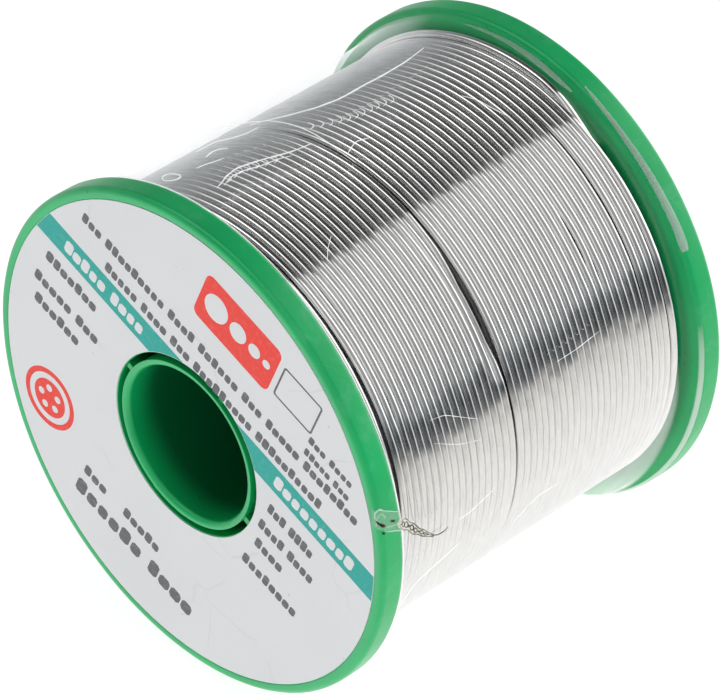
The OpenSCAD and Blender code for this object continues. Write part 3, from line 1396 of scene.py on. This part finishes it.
class Haze(Enum):
    """How cloudy the film is, as added cover. Where it is cleared, cover is taken away."""

    FAINT = 0.04
    LAPPED = 0.10
    SOFT = 0.16
    HEM = 0.43
    CLEARED = -0.34

    def over(self, share: Array) -> Array:
        """Its cover where it counts by a share."""
        return self.value * share


@dataclass
class Film:
    """The clear sleeve shrunk over the winding, with its folds and its loose tail."""

    places: ReelPlaces
    sag: float = 1.45 * MM
    drop: float = 0.88 * MM
    draw_in: float = 0.0204
    slack: float = 0.10
    folds: float = 0.03
    thickness: float = 0.05 * MM
    turns: int = 480
    columns: int = 78
    spread: float = 0.94
    lip_round: float = 0.86 * MM
    lip_turns: Pair = (40.0, 66.0)
    rim_round: float = 0.8 * MM
    rim_end: float = 0.25 * MM
    flatness: int = 7
    hem_place: Pair = (0.60 * MM, 0.14 * MM)
    hem_r: float = 0.065 * MM
    mm_per_degree: float = 0.5
    ridge_step: float = 0.25
    ridge_sides: int = 8
    streak_thick: float = 0.02 * MM
    streak_lift: float = 0.03 * MM
    sheet_columns: int = 9
    strip_start: float = 74.7
    strip_slant: float = 0.96
    strip_wide: float = 4.5
    tail_lean: Pair = (0.75, 1.3)
    tail_thick: float = 0.06 * MM
    creases: tuple[Crease, ...] = (
        Crease("lap", ((8.2, -5.0), (9.5, -6.0), (10.6, -7.2), (12.7, -8.1), (14.6, -7.5), (16.1, -6.5),
                       (17.6, -5.1), (19.2, -4.0), (20.7, -3.4), (22.0, -3.0)), 0.24),
        Crease("lap_under", ((9.2, -4.8), (11.2, -6.4), (13.1, -6.1), (15.1, -4.9), (17.4, -3.8),
                             (18.7, -2.7)), 0.14),
        Crease("wrinkle", ((21.8, -22.6), (23.1, -21.1), (25.5, -16.8), (28.3, -13.5), (30.7, -12.4),
                           (33.6, -12.4), (36.6, -12.4), (39.3, -12.7), (42.0, -13.1), (46.0, -14.2)), 0.30),
        Crease("wrinkle_top", ((20.3, -32.7), (21.3, -31.2), (21.8, -27.2), (22.5, -24.6),
                               (23.1, -21.1)), 0.24),
        Crease("wrinkle_low", ((13.9, -23.6), (15.3, -23.4), (16.8, -23.2), (18.1, -21.3), (19.8, -19.5),
                               (21.6, -19.2)), 0.24),
        Crease("wrinkle_side", ((23.5, -20.4), (23.7, -14.2), (23.7, -8.7), (23.5, -2.8), (23.3, 3.0),
                                (23.3, 8.1)), 0.15),
        Crease("bubble_a", ((5.9, -17.3), (6.9, -18.8), (7.6, -18.5), (7.9, -16.6), (7.7, -14.9),
                            (6.8, -14.1), (5.7, -14.3), (5.2, -15.3), (5.9, -17.3)), 0.15),
        Crease("bubble_b", ((13.0, -18.4), (14.4, -19.3), (15.3, -18.7), (15.9, -17.2)), 0.20),
        Crease("bubble_c", ((10.2, -15.7), (11.6, -15.4), (12.7, -14.5), (13.8, -14.0)), 0.16),
        Crease("scratch_a", ((23.8, 4.6), (25.0, 3.5), (26.0, 2.8), (26.8, 3.1), (27.7, 3.6)), 0.16),
        Crease("scratch_b", ((41.2, 6.4), (41.5, 7.4), (42.1, 9.2), (42.3, 10.6), (42.5, 12.8), (42.9, 15.2),
                             (43.4, 17.2)), 0.10),
        Crease("scratch_c", ((10.3, 25.0), (11.5, 22.6), (13.1, 20.5)), 0.1, 0.04),
        Crease("square_top", ((11.7, 65.2), (13.9, 65.9), (18.3, 70.8)), 0.07, 0.03),
        Crease("square_low", ((11.4, 70.3), (14.8, 73.6), (18.1, 75.5)), 0.06, 0.03),
        Crease("low_fold_a", ((4.3, 104.7), (7.1, 101.8), (9.5, 101.2), (12.0, 100.3), (14.3, 98.9)),
               0.16, 0.04),
        Crease("low_fold_b", ((23.7, 104.7), (25.5, 101.8), (27.7, 100.3), (30.6, 100.4)), 0.13, 0.03),
        Crease("low_arc", ((13.5, 91.6), (15.5, 91.5), (17.6, 90.5), (19.5, 89.0)), 0.12, 0.03),
        Crease("band_fold", ((31.4, 68.9), (34.7, 68.9), (38.7, 68.1)), 0.1, 0.03),
    )
    # Places of the painted highlight hooks: the wires' highlights, bent where a fold crosses them.
    highlight_hooks: tuple[Pair, ...] = (
        (25.0, -7.9), (26.0, -6.8), (27.0, -5.8), (28.0, -5.0), (29.1, -4.4), (30.1, -4.0), (31.1, -3.8),
        (32.2, -3.6), (33.2, -3.4), (34.2, -3.1), (35.3, -2.9), (10.9, -5.6), (12.0, -6.0), (13.0, -6.4),
        (14.0, -6.0), (15.1, -5.4), (16.1, -4.6), (17.2, -3.9))
    strip_edges: tuple[Crease, ...] = (
        Crease("strip_top", ((0.3, 74.9), (0.9, 75.5), (2.0, 76.6), (3.2, 77.8)), 0.09, 0.04, 0.04),
        Crease("strip_roll", ((-0.04, 77.0), (-0.03, 76.0), (0.1, 75.1), (0.45, 74.7), (0.9, 75.4)),
               0.20, 0.05, 0.04),
        Crease("strip_hem", ((-0.04, 78.6), (0.05, 76.6), (0.5, 75.6), (0.9, 76.4), (0.9, 77.3)),
               0.10, 0.04, 0.05),
        Crease("strip_low", ((0.7, 80.1), (1.2, 80.6), (2.2, 81.2), (3.3, 82.3)), 0.15, 0.05, 0.04),
        Crease("strip_fold", ((0.9, 79.2), (1.5, 79.7), (2.3, 79.9), (3.1, 80.2)), 0.10, 0.04, 0.04),
    )
    specks: tuple[Crease, ...] = (
        Crease("speck_a", ((-0.02, 77.3), (0.12, 78.0), (0.4, 78.5), (0.75, 78.9)), 0.36, 0.07, 0.07),
        Crease("speck_b", ((1.7, 78.5), (2.0, 78.9), (2.3, 79.0)), 0.26, 0.07, 0.07),
        Crease("speck_c", ((0.3, 80.2), (0.6, 80.5)), 0.22, 0.05, 0.05),
        Crease("thread_end", ((8.5, 89.5), (9.6, 90.8), (10.9, 91.2), (11.5, 90.6)), 0.12, 0.06, 0.36),
    )
    tail: tuple[Triple, ...] = (
        (2.7, 79.7, 0.6), (3.1, 80.3, 1.15), (3.9, 81.5, 1.25), (4.4, 82.4, 0.7), (4.9, 83.3, 1.1),
        (5.6, 84.9, 1.0), (6.1, 85.7, 0.55), (6.7, 86.6, 0.8), (7.4, 87.9, 0.65), (7.9, 88.6, 0.35),
        (8.5, 89.5, 0.5), (8.9, 90.0, 0.12))

    def lip_centre_r(self) -> float:
        """Radius of the middle of a rim's rounded edge."""
        return self.places.rim_r - self.rim_round

    def lip_start_r(self) -> float:
        """Radius at which the film meets the rounded edge of a rim."""
        return self.lip_centre_r() + self.lip_round * math.sin(math.radians(self.lip_turns[0]))

    def reach(self) -> float:
        """Half of the film's length between the places where it meets the rims."""
        on_edge = self.lip_round * math.cos(math.radians(self.lip_turns[0]))
        return self.places.half_gap + self.rim_round - on_edge

    def radius(self, angle: Array, depth: Array) -> Array:
        """Shapes the film between its lips.

        Args:
            angle: Degrees round the reel.
            depth: Distance behind the labelled face.

        Returns:
            Its outer radius.
        """
        share = np.clip(np.abs(depth - self.places.middle) / self.reach(), 0, 1)
        base = self.lip_start_r() - self.sag * (1 - share ** self.flatness)
        slack = waves(23, 5, 150.0, 31.0)(angle + 1.2 * depth / MM) * self.slack
        folds = waves(29, 5, 24.0, 6.0)(depth / MM + angle * 0.25) * self.folds
        base = base - self.drop * self.pull(angle, depth) * share ** self.flatness
        return base + (slack + folds) * MM * (1 - share ** 4)

    def pull(self, angle: Array, depth: Array) -> Array:
        """Finds where the film ends against the plain flange's inner face, below its rim.

        Args:
            angle: Degrees round the reel.
            depth: Distance behind the labelled face.

        Returns:
            1 there and 0 elsewhere.
        """
        less = 1 - 0.25 * smooth_step(-35, -10, angle) - 0.75 * smooth_step(14, 30, angle)
        return smooth_step(-120, -80, angle) * less * (depth > self.places.middle)

    def skin(self, angle: Array, depth: Array) -> Array:
        """Finds the labelled rim's edge, and behind it the film.

        Args:
            angle: Degrees round the reel.
            depth: Distance behind the labelled face.

        Returns:
            The radius of whichever lies there.
        """
        out = np.maximum(self.rim_round - depth, depth - self.places.front_inner + self.rim_round)
        rim = self.lip_centre_r() + np.sqrt(self.lip_round ** 2 - np.clip(out, 0, self.rim_round) ** 2)
        return np.where(depth < self.places.front_inner - self.rim_end, rim, self.radius(angle, depth))

    def haze(self, angle: Array, depth: Array) -> Array:
        """Finds how cloudy the film is.

        Args:
            angle: Degrees round the reel.
            depth: Distance behind the labelled face.

        Returns:
            Its added cover.
        """
        place = depth / MM
        upper = np.interp(place, (3, 18, 22, 26, 29, 32, 36, 50),
                          (-20, -20, -21.5, -18, -15, -13, -12.3, -15))
        lapped = np.interp(place, (4, 7, 9, 15, 19, 22, 23.5, 29, 35, 41),
                           (-4, -6, -8, -8, -3, -7, -7, -5, -1.3, -9))
        cover = np.maximum(Haze.FAINT.over(smooth_step(0, 16, upper - angle)),
                           Haze.LAPPED.over(smooth_step(0, 0.8, lapped - angle)))
        cover = cover + Haze.SOFT.over(smooth_step(72, 100, angle))
        cover = cover + Haze.CLEARED.over(smooth_step(49.2, 51.0, place)) * smooth_step(-32, -8, angle)
        cover = cover + Haze.HEM.over(smooth_step(66, 84, angle)) * smooth_step(52.1, 52.5, place)
        return cover * smooth_step(-150, -120, angle) * (1 - smooth_step(135, 160, angle))

    def section(self) -> tuple[Array, Array]:
        """Spaces the columns of the film, closest near its ends.

        Returns:
            Depth at every column, and its turn up the rounded rim in degrees, which is nil on the body.
        """
        body = np.sin(np.linspace(-0.5, 0.5, self.columns) * math.pi * self.spread)
        body = body / math.sin(self.spread / 2 * math.pi)
        turns = np.linspace(*self.lip_turns, 6)[1:]
        lip = self.places.half_gap + self.rim_round - self.lip_round * np.cos(np.radians(turns))
        depth = self.places.middle + np.concatenate([-lip[::-1], body * self.reach(), lip])
        return depth, np.concatenate([turns[::-1], np.zeros(self.columns), turns])

    def build_sleeve(self, material: Material) -> Object:
        """Makes the sleeve as a thin closed shell.

        Args:
            material: Its finish.

        Returns:
            The piece.
        """
        depth, turn = self.section()
        angle = np.arange(self.turns)[:, None] * 360.0 / self.turns - 180.0
        pull = self.pull(angle, depth[None, :])
        lip = self.lip_centre_r() + self.lip_round * np.sin(np.radians(turn)) - self.drop * pull
        outer = np.where(turn > 0, lip, self.radius(angle, depth[None, :]))
        wall = np.concatenate([outer, outer[:, ::-1] - self.thickness], axis=1)
        both = np.concatenate([depth, depth[::-1]])[None, :]
        shift = self.draw_in * np.concatenate([pull, pull[:, ::-1]], axis=1) * (self.places.middle - both)
        piece = make_object("film_sleeve", self.places.points(wall, angle, both + shift),
                            grid_faces(self.turns, 2 * len(depth), closed=True))
        haze = self.haze(*np.broadcast_arrays(angle, both)).reshape(-1)
        cover = piece.data.attributes.new("crease", "FLOAT", "POINT")
        cover.data.foreach_set("value", haze.astype(np.float32))
        return finish_piece(piece, material, replaces=("shrink_film",))

    def ridge(self, crease: Crease, seed: int) -> tuple[Array, list[list[int]]]:
        """Shapes one crease as a low ridge that tapers at both ends.

        Args:
            crease: The crease.
            seed: Seed of its uneven width.

        Returns:
            Its vertices and faces.
        """
        knots, sides = np.array(crease.places), self.ridge_sides
        steps = np.hypot(np.diff(knots[:, 0]), np.diff(knots[:, 1]) * self.mm_per_degree)
        span = np.concatenate([[0], np.cumsum(steps)])
        place = np.linspace(0, span[-1], max(12, int(span[-1] / self.ridge_step)))
        depth = np.interp(place, span, knots[:, 0]) * MM
        angle = np.interp(place, span, knots[:, 1])
        for _ in range(3):
            for line in (depth, angle):
                line[1:-1] = (line[:-2] + 2 * line[1:-1] + line[2:]) / 4
        middle = self.places.points(self.skin(angle, depth) + crease.lift * MM, angle, depth)
        along = unit(np.gradient(middle, axis=0))
        outward = unit(self.places.away(middle))
        across = np.cross(along, outward)
        taper = np.sin(np.linspace(0.06, 0.94, len(place)) * math.pi) ** 0.5
        uneven = 1 + 0.3 * np.clip(waves(seed, 4, 4.0, 0.6)(place), -1, 1)
        width = (crease.width / 2 * taper * uneven * MM)[:, None, None]
        height = (crease.height * taper * MM)[:, None, None]
        turn = np.linspace(0, 2 * math.pi, sides, endpoint=False)[None, :, None]
        rings = middle[:, None] + width * np.cos(turn) * across[:, None]
        rings = rings + height * np.sin(turn) * outward[:, None]
        last = (len(place) - 1) * sides
        caps = [list(range(sides)), list(range(last, last + sides))[::-1]]
        return rings.reshape(-1, 3), grid_faces(len(place), sides) + caps

    def build_lines(self, name: str, creases: Sequence[Crease], material: Material) -> Object:
        """Makes a set of creases as one piece.

        Args:
            name: The piece's name.
            creases: The creases.
            material: Their finish.

        Returns:
            The piece.
        """
        vertices, faces = [], []
        for seed, crease in enumerate(creases):
            points, quads = self.ridge(crease, 300 + seed)
            faces += [[corner + len(vertices) for corner in quad] for quad in quads]
            vertices += points.tolist()
        log.info("%s holds %s", name, ", ".join(sorted({crease.name for crease in creases})))
        return finish_piece(make_object(name, np.array(vertices), faces), material)

    def build_sheet(self, name: str, grid: tuple[Array, Array, Array], thickness: float,
                    material: Material) -> Object:
        """Makes a thin sheet of film.

        Args:
            name: The piece's name.
            grid: Radius, angle and depth of every point of its lower side.
            thickness: How thick it is.
            material: Its finish.

        Returns:
            The piece.
        """
        radius, angle, depth = grid
        points = self.places.points(radius, angle, depth)
        outward = (self.places.points(radius + MM, angle, depth) - points) / MM
        return finish_piece(make_sheet(name, points, outward, thickness), material)

    def highlight_hook_lines(self) -> list[Crease]:
        """Short hooked white lines, one over each wire that a fold crosses: painted highlights of the wires,
        bent along the fold.
        """
        shape = ((0.05, -2.2), (0.06, -1.0), (0.02, -0.2), (-0.3, 0.2), (-0.95, 0.5))
        return [Crease("highlight_hook", tuple((place + step, turn + lean) for step, lean in shape), 0.09)
                for place, turn in self.highlight_hooks]

    def build_strip(self, material: Material) -> Object:
        """Makes the narrow strip of film that passes over the labelled flange's rim.

        Args:
            material: Its finish.

        Returns:
            The piece.
        """
        middle, wide, size = self.lip_centre_r(), self.places.front_inner, self.rim_round + 0.02 * MM
        route = [(middle - 0.5 * MM, -0.02 * MM), *arc((middle, self.rim_round), size, 270, 360, 12)]
        route += arc((middle, wide - self.rim_round), size, 0, 50, 8)
        radius, depth = np.array(route).T[:, None, :]
        share = np.linspace(0, 1, 26)[:, None]
        place = depth / MM
        upper, lower = 0.25 * waves(61, 4, 2.4, 0.5)(place), 0.2 * waves(62, 3, 2.0, 0.5)(place)
        angle = self.strip_start + self.strip_slant * place + upper * (1 - share)
        angle = angle + share * (self.strip_wide + lower)
        crumple = np.abs(waves(63, 5, 1.6, 0.4)(angle + place)) * 0.06 * MM
        return self.build_sheet("film_strip", (radius + crumple, angle, depth), self.thickness, material)

    def on_plain_rim(self, turn: Array) -> tuple[Array, Array]:
        """Finds places on the plain flange's edge.

        Args:
            turn: Degrees round its rounding, from the inner face upwards.

        Returns:
            Radius and depth.
        """
        size = self.rim_round + self.streak_lift
        bent, flat = np.radians(np.minimum(turn, 90)), np.radians(np.maximum(turn - 90, 0))
        depth = self.places.rear_inner + self.rim_round + size * (flat - np.cos(bent))
        return self.lip_centre_r() + size * np.sin(bent), depth

    def build_highlight_streaks(self, material: Material) -> None:
        """Makes two painted highlights of the film beside and on the plain flange's rim, as pale cloudy
        sheets.

        Args:
            material: Their finish.
        """
        across = np.linspace(-1, 1, self.sheet_columns)[None, :]
        angle = np.linspace(21.0, 61.5, 90)[:, None]
        middle = np.interp(angle, (20, 28, 35, 45, 57, 62), (86, 68, 62, 68, 80, 74))
        half = np.interp(angle, (20, 24, 35, 50, 60, 61.5), (2, 15, 24, 35, 42, 32))
        radius, depth = self.on_plain_rim(middle + half * across)
        self.build_sheet("film_highlight_streak_low", (radius, angle, depth), self.streak_thick, material)
        angle = np.linspace(-13.0, 20.0, 60)[:, None]
        middle = np.interp(angle, (-13, -6, 0, 8, 16, 20), (52.05, 52.1, 52.15, 52.1, 52.0, 51.95))
        half = np.interp(angle, (-13, -8, 0, 8, 15, 20), (0.04, 0.2, 0.3, 0.4, 0.36, 0.1))
        depth = (middle + half * across) * MM
        radius = self.radius(angle, depth) + 0.04 * MM
        self.build_sheet("film_highlight_streak_high", (radius, angle, depth), self.streak_thick, material)

    def across_tail(self, depth: Array, angle: Array, reach: Array) -> tuple[Array, Array]:
        """Depth in millimetres and angle of what lies beside the tail's middle line."""
        return depth + reach * self.tail_lean[0], angle - reach * self.tail_lean[1]

    def build_tail(self, material: Material) -> Object:
        """Makes the loose crinkled tail that lies on the sleeve beside the strip.

        Args:
            material: Its finish.

        Returns:
            The piece.
        """
        knots = np.array(self.tail)
        along = np.linspace(0, len(knots) - 1, 56)
        depth, angle, wide = (np.interp(along, np.arange(len(knots)), column)[:, None] for column in knots.T)
        across = np.linspace(-0.5, 0.5, self.sheet_columns)[None, :]
        depth, angle = self.across_tail(depth, angle, across * wide)
        along = along[:, None]
        crinkle = np.abs(waves(72, 6, 3.0, 0.5)(along) + waves(73, 4, 0.9, 0.25)(across + 0.2 * along))
        radius = self.radius(angle, depth * MM) + (0.24 + 0.10 * crinkle) * MM
        return self.build_sheet("film_tail", (radius, angle, depth * MM), self.tail_thick, material)

    def tail_threads(self) -> list[Crease]:
        """Draws dark threads along both edges of the tail and to and fro across it.

        Returns:
            The threads.
        """
        depth, angle, wide = np.array(self.tail).T
        to_and_fro = np.where(np.arange(len(wide)) % 2, 0.42, -0.42)
        return [Crease("thread", tuple(zip(*self.across_tail(depth, angle, side * wide))), 0.12, 0.07, 0.50)
                for side in (0.48, -0.48, to_and_fro, -to_and_fro)]

    def build_edge(self, material: Material) -> Object:
        """Makes the thickened edge of the sleeve along the labelled flange's rim, which in the white, glowing
        fold finish is also a painted highlight line along the rim.

        Args:
            material: Its finish.

        Returns:
            The piece.
        """
        out, inward = self.hem_place
        ring = arc((self.lip_centre_r() + out, self.places.front_inner - inward), self.hem_r, 0, 315, 7)
        return finish_piece(lathe("film_edge_and_highlight", self.places, ring, 360), material)

    def build(self, effects: Effects) -> None:
        """Makes the sleeve with everything that is on it.

        Args:
            effects: Node groups for its finishes.
        """
        def matt(name: str, colour: Colour, clear: float, haze: float, roughness: float,
                 painted_glow: float = 0.0) -> Material:
            """A finish for film that is crumpled, and so has no sheen of its own; a painted glow brightens
            it.
            """
            return ShrinkFilm(effects, colour=colour, sheen=0.0, clear=clear, haze=haze, painted_glow=painted_glow,
                              roughness=roughness).material(name)

        # The sleeve gets a faint painted glow that whitens its veil.
        self.build_sleeve(ShrinkFilm(effects, painted_glow=0.14).material("shrink_film_clear"))
        # The fold finish is white with a painted glow: the creases are the film's own folds with painted
        # highlights along them.
        fold_and_highlight = matt("film_fold_and_highlight", (0.97, 0.98, 0.98), 0.46, 0.2, 0.3, 0.45)
        self.build_lines("film_creases", self.creases, fold_and_highlight)
        self.build_lines("film_highlight_hooks", self.highlight_hook_lines(), fold_and_highlight)
        self.build_edge(fold_and_highlight)
        # Pale sheets that paint the film's highlights by the plain rim.
        self.build_highlight_streaks(matt("film_highlight_streak", (0.86, 0.93, 0.90), 0.26, 0.1, 0.25))
        self.build_strip(matt("film_strip_clear", (0.80, 0.95, 0.88), 0.13, 0.3, 0.25))
        # The strip's edges and the tail get a painted glow that lightens them.
        self.build_lines("film_strip_edges", self.strip_edges,
                         matt("film_hem", (0.86, 0.95, 0.91), 0.26, 0.2, 0.3, 0.3))
        self.build_tail(matt("film_frayed", (0.84, 0.85, 0.74), 0.42, 0.2, 0.35, 0.35))
        self.build_lines("film_threads", [*self.specks, *self.tail_threads()],
                         PrintInk(effects, (0.030, 0.020, 0.010)).material("film_singed"))


# --------------------------------------------------------------------------- studio


@dataclass(frozen=True)
class SoftBox:
    """A soft light, unseen in gloss: where it stands, where it points, its size and its brightness."""

    name: str
    centre: Triple
    toward: Triple
    size: Pair
    radiance: float

    def build(self) -> Object:
        """Makes the light.

        Returns:
            The lamp.
        """
        light = bpy.data.lights.new(self.name, "AREA")
        light.shape = "RECTANGLE"
        light.size, light.size_y = self.size
        light.energy = self.radiance * math.pi * self.size[0] * self.size[1]
        lamp = bpy.data.objects.new(self.name, light)
        lamp.location = self.centre
        direction = Vector(self.toward) - Vector(self.centre)
        lamp.rotation_euler = direction.to_track_quat("-Z", "Y").to_euler()
        lamp.visible_camera = False
        lamp.visible_glossy = False
        bpy.context.scene.collection.objects.link(lamp)
        return lamp


@dataclass
class Studio:
    """Pale floor, soft lights and the camera."""

    floor_glow: float = 0.90
    floor_half: float = 6.0
    floor_colour: Colour = (0.30, 0.30, 0.30)
    sky: float = 0.09
    backdrop: float = 0.95
    bounce: Triple = (0.570, -0.557, 0.607)
    strip_swing: float = 60.0
    floor_tone: Colour = (0.95, 0.94, 0.93)
    end_tone: Colour = (1.15, 1.15, 1.15)
    around: tuple[Triple, ...] = (
        (-60, 1.00, 1.00), (-46, 0.90, 1.00), (-40, 0.82, 0.99), (-34, 0.75, 0.98), (-28, 0.60, 0.97),
        (-22, 0.35, 0.96), (-16, 0.235, 0.96), (-9, 0.175, 0.97), (0, 0.115, 1.00), (9, 0.070, 1.00),
        (17, 0.044, 0.99), (22.9, 0.046, 0.98), (24.4, 0.33, 1.00), (30, 0.38, 1.01), (44, 0.38, 1.01),
        (50, 0.37, 1.00), (55, 0.31, 0.99), (59, 0.27, 0.97), (62, 0.23, 0.93), (64.5, 0.11, 0.87),
        (67.5, 0.045, 0.85), (70.5, 0.11, 0.92), (72.5, 0.28, 1.00), (75, 0.66, 1.025), (78, 0.84, 1.03),
        (84, 0.98, 1.03), (92, 1.03, 1.03), (104, 1.06, 1.02), (120, 1.08, 1.02))
    overhead: tuple[Triple, ...] = (
        (-60, 0.0, 0.6), (-24, 0.0, 0.6), (-16, 0.35, 0.6), (-8, 1.0, 0.58), (0, 1.8, 0.55), (8, 1.9, 0.53),
        (16, 1.35, 0.52), (23.4, 1.1, 0.52), (25.5, 0.65, 0.53), (30, 0.6, 0.55), (40, 0.6, 0.73),
        (50, 0.55, 0.75), (60, 0.4, 0.75), (64, 0.16, 0.75), (72, 0.0, 0.75), (120, 0.0, 0.75))
    behind: tuple[Pair, ...] = (
        (-60, 0.0), (22.8, 0.0), (24.4, 1.3), (28, 1.7), (58, 1.7), (62, 1.4), (64, 1.05), (66, 0.75),
        (69, 0.7), (72, 0.8), (75, 0.9), (80, 1.0), (120, 1.0))
    camera_place: Triple = (0.32896, -0.32148, 0.38289)
    camera_right: Triple = (0.699, 0.715, 0.0)
    camera_up: Triple = (-0.4339, 0.4242, 0.7948)
    lens: float = 243.98
    sensor_width: float = 36.0
    boxes: tuple[SoftBox, ...] = (
        SoftBox("right_side", (1.4935, 0.0, 0.60), (0.0, 0.0, 0.60), (3.2, 1.0), 0.46),
        SoftBox("back", (0.0, 1.25, 0.75), (0.0, 0.0, 0.75), (2.8, 1.4), 1.6),
        SoftBox("left_low", (-2.2, 0.7, 0.16), (0.0, 0.7, 0.16), (3.6, 0.32), 0.85),
        SoftBox("fill", (0.0, -0.85, 0.055), (0.0, 0.0, 0.055), (2.0, 0.09), 4.4),
        SoftBox("top", (0.62, 0.25, 1.1), (0.62, 0.25, 0.0), (1.48, 3.7), 0.52),
    )

    def build_floor(self) -> Object:
        """Makes the floor.

        Returns:
            The floor.
        """
        material, graph, shader = principled("studio_floor", Base_Color=self.floor_colour, Roughness=0.9,
                                             Specular_IOR_Level=0.0, Emission_Strength=1.0)
        glow = graph.remap(graph.noise(graph.point(), 0.8, 2.0), 0.3, 0.7,
                           self.floor_glow * 0.99, self.floor_glow)
        graph.give(shader, Emission_Color=graph.grey(glow))
        half = self.floor_half
        corners = [(-half, -half, 0), (half, -half, 0), (half, half, 0), (-half, half, 0)]
        floor = make_object("studio_floor", np.array(corners), [[0, 1, 2, 3]])
        floor.data.materials.append(material)
        floor.visible_glossy = False
        return floor

    def build_sky(self) -> None:
        """Makes a pale backdrop, dim surroundings, and the banded surroundings that gloss shows."""
        world = bpy.data.worlds.new("studio_sky")
        bpy.context.scene.world = world
        world.use_nodes = True
        graph = Graph(world.node_tree)
        dark, pale, bands = (graph.node("ShaderNodeBackground", {"Color": colour}) for colour in (
            (self.sky, self.sky, self.sky * 1.05), (self.backdrop,) * 3, self._bands(graph)))
        seen = graph.node("ShaderNodeLightPath").outputs
        unseen = graph.node("ShaderNodeMixShader", {0: seen["Is Glossy Ray"], 1: dark, 2: bands})
        graph.give(world.node_tree.nodes["World Output"], Surface=graph.node(
            "ShaderNodeMixShader", {0: seen["Is Camera Ray"], 1: unseen, 2: pale}))

    def _bands(self, graph: Graph) -> NodeSocket:
        """Light from every direction, by the turn and the lean of the surface that would throw it back.

        Args:
            graph: The sky's graph.

        Returns:
            The colour of the surroundings.
        """
        ray = graph.node("ShaderNodeTexCoord").outputs["Generated"]
        half = graph.node("ShaderNodeVectorMath", {0: ray, 1: self.bounce}, operation="ADD")
        across, along, up = graph.axes(half)
        level = graph.math("SQRT", graph.plus(graph.times(across, across), graph.times(up, up)))
        turn = graph.math("DEGREES", graph.math("ARCTAN2", across, up))
        lean = graph.math("DEGREES", graph.math("ARCTAN2", along, level))
        base = graph.ramp(turn, [(at, (glow * warm, glow, glow * (2 - warm)))
                                 for at, glow, warm in self.around])
        strip = graph.node("ShaderNodeSeparateColor", {0: graph.ramp(
            turn, [(at, (glow / 2, middle, 0.0)) for at, glow, middle in self.overhead])}).outputs
        wall = graph.ramp(turn, [(at, (glow,) * 3) for at, glow in self.behind])
        off_strip = graph.math("ABSOLUTE", graph.plus(lean, graph.times(strip[1], self.strip_swing)))
        in_strip = graph.times(graph.remap(off_strip, 4.5, 11.0, 1.0, 0.0), graph.times(strip[0], 2.0))
        below = graph.remap(graph.axes(ray)[2], -0.02, 0.02, 1.0, 0.0)
        in_floor = graph.times(graph.times(below, graph.remap(lean, 16.0, 24.0)),
                               graph.remap(turn, -50.0, -20.0, 0.0, 0.2))
        glow = graph.mix(1.0, base, graph.grey(in_strip), "ADD")
        glow = graph.mix(in_floor, glow, self.floor_tone)
        glow = graph.mix(graph.remap(lean, -2.0, 4.0), glow, graph.mix(1.0, glow, wall, "LIGHTEN"))
        return graph.mix(graph.remap(lean, -84.0, -66.0, 1.0, 0.0), glow, self.end_tone)

    def build_camera(self) -> Object:
        """Makes the camera.

        Returns:
            The camera, which is set as the scene's.
        """
        camera = bpy.data.cameras.new("camera")
        camera.lens = self.lens
        camera.sensor_width = self.sensor_width
        camera.clip_start = 0.01
        piece = bpy.data.objects.new("camera", camera)
        right, up = Vector(self.camera_right).normalized(), Vector(self.camera_up).normalized()
        columns = zip(right, up, right.cross(up), self.camera_place)
        piece.matrix_world = Matrix([*(list(row) for row in columns), [0, 0, 0, 1]])
        bpy.context.scene.collection.objects.link(piece)
        bpy.context.scene.camera = piece
        return piece

    def build(self) -> None:
        """Makes the floor, the lights, the sky and the camera."""
        self.build_floor()
        self.build_sky()
        for box in self.boxes:
            box.build()
        self.build_camera()
        bpy.context.scene.view_settings.view_transform = "Standard"


# --------------------------------------------------------------------------- the reel


def dress_nodes(frame: dict, material_of: dict[str, Material]) -> None:
    """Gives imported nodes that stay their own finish.

    Args:
        material_of: Node name and its material.
    """
    for node, material in material_of.items():
        piece = frame["nodes"][node]
        for index in range(max(1, len(piece.material_slots))):
            piece.material_slots[index].material = material
        log.info("%s keeps its packed mesh", node)


def main() -> None:
    """Builds the whole scene."""
    logging.basicConfig(level=logging.INFO, format="%(name)s: %(message)s")
    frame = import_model()
    places = ReelPlaces.from_nodes()
    effects = Effects(places)
    Studio().build()

    plastic = GreenPlastic(effects).material("green_styrene")
    flange = Flange(places)
    flange.build("flange_labelled", "front_flange", False, plastic)
    flange.build("flange_plain", "rear_flange", True, plastic)
    solder = SolderAlloy(effects).material("solder_alloy")
    # Painted shade: the layers under the outer turns get a dark alloy because they lie in shade.
    painted_shade_alloy = SolderAlloy(effects, colour=(0.10, 0.10, 0.10), dulled=(0.05, 0.05, 0.05), roughness=0.3)
    winding = Winding(places)
    winding.build_turns(solder)
    winding.build_drum(painted_shade_alloy.material("inner_alloy_painted_shade"))
    dress_nodes(frame, {"barrel": plastic, "bore_tube": plastic, "free_end": solder,
                        "flux_core": Rosin(effects).material("rosin"),
                        "front_label": LabelPaper(effects).material("label_paper")})
    LabelPrint(places, effects).build()
    Film(places).build(effects)


if __name__ == "__main__":
    main()
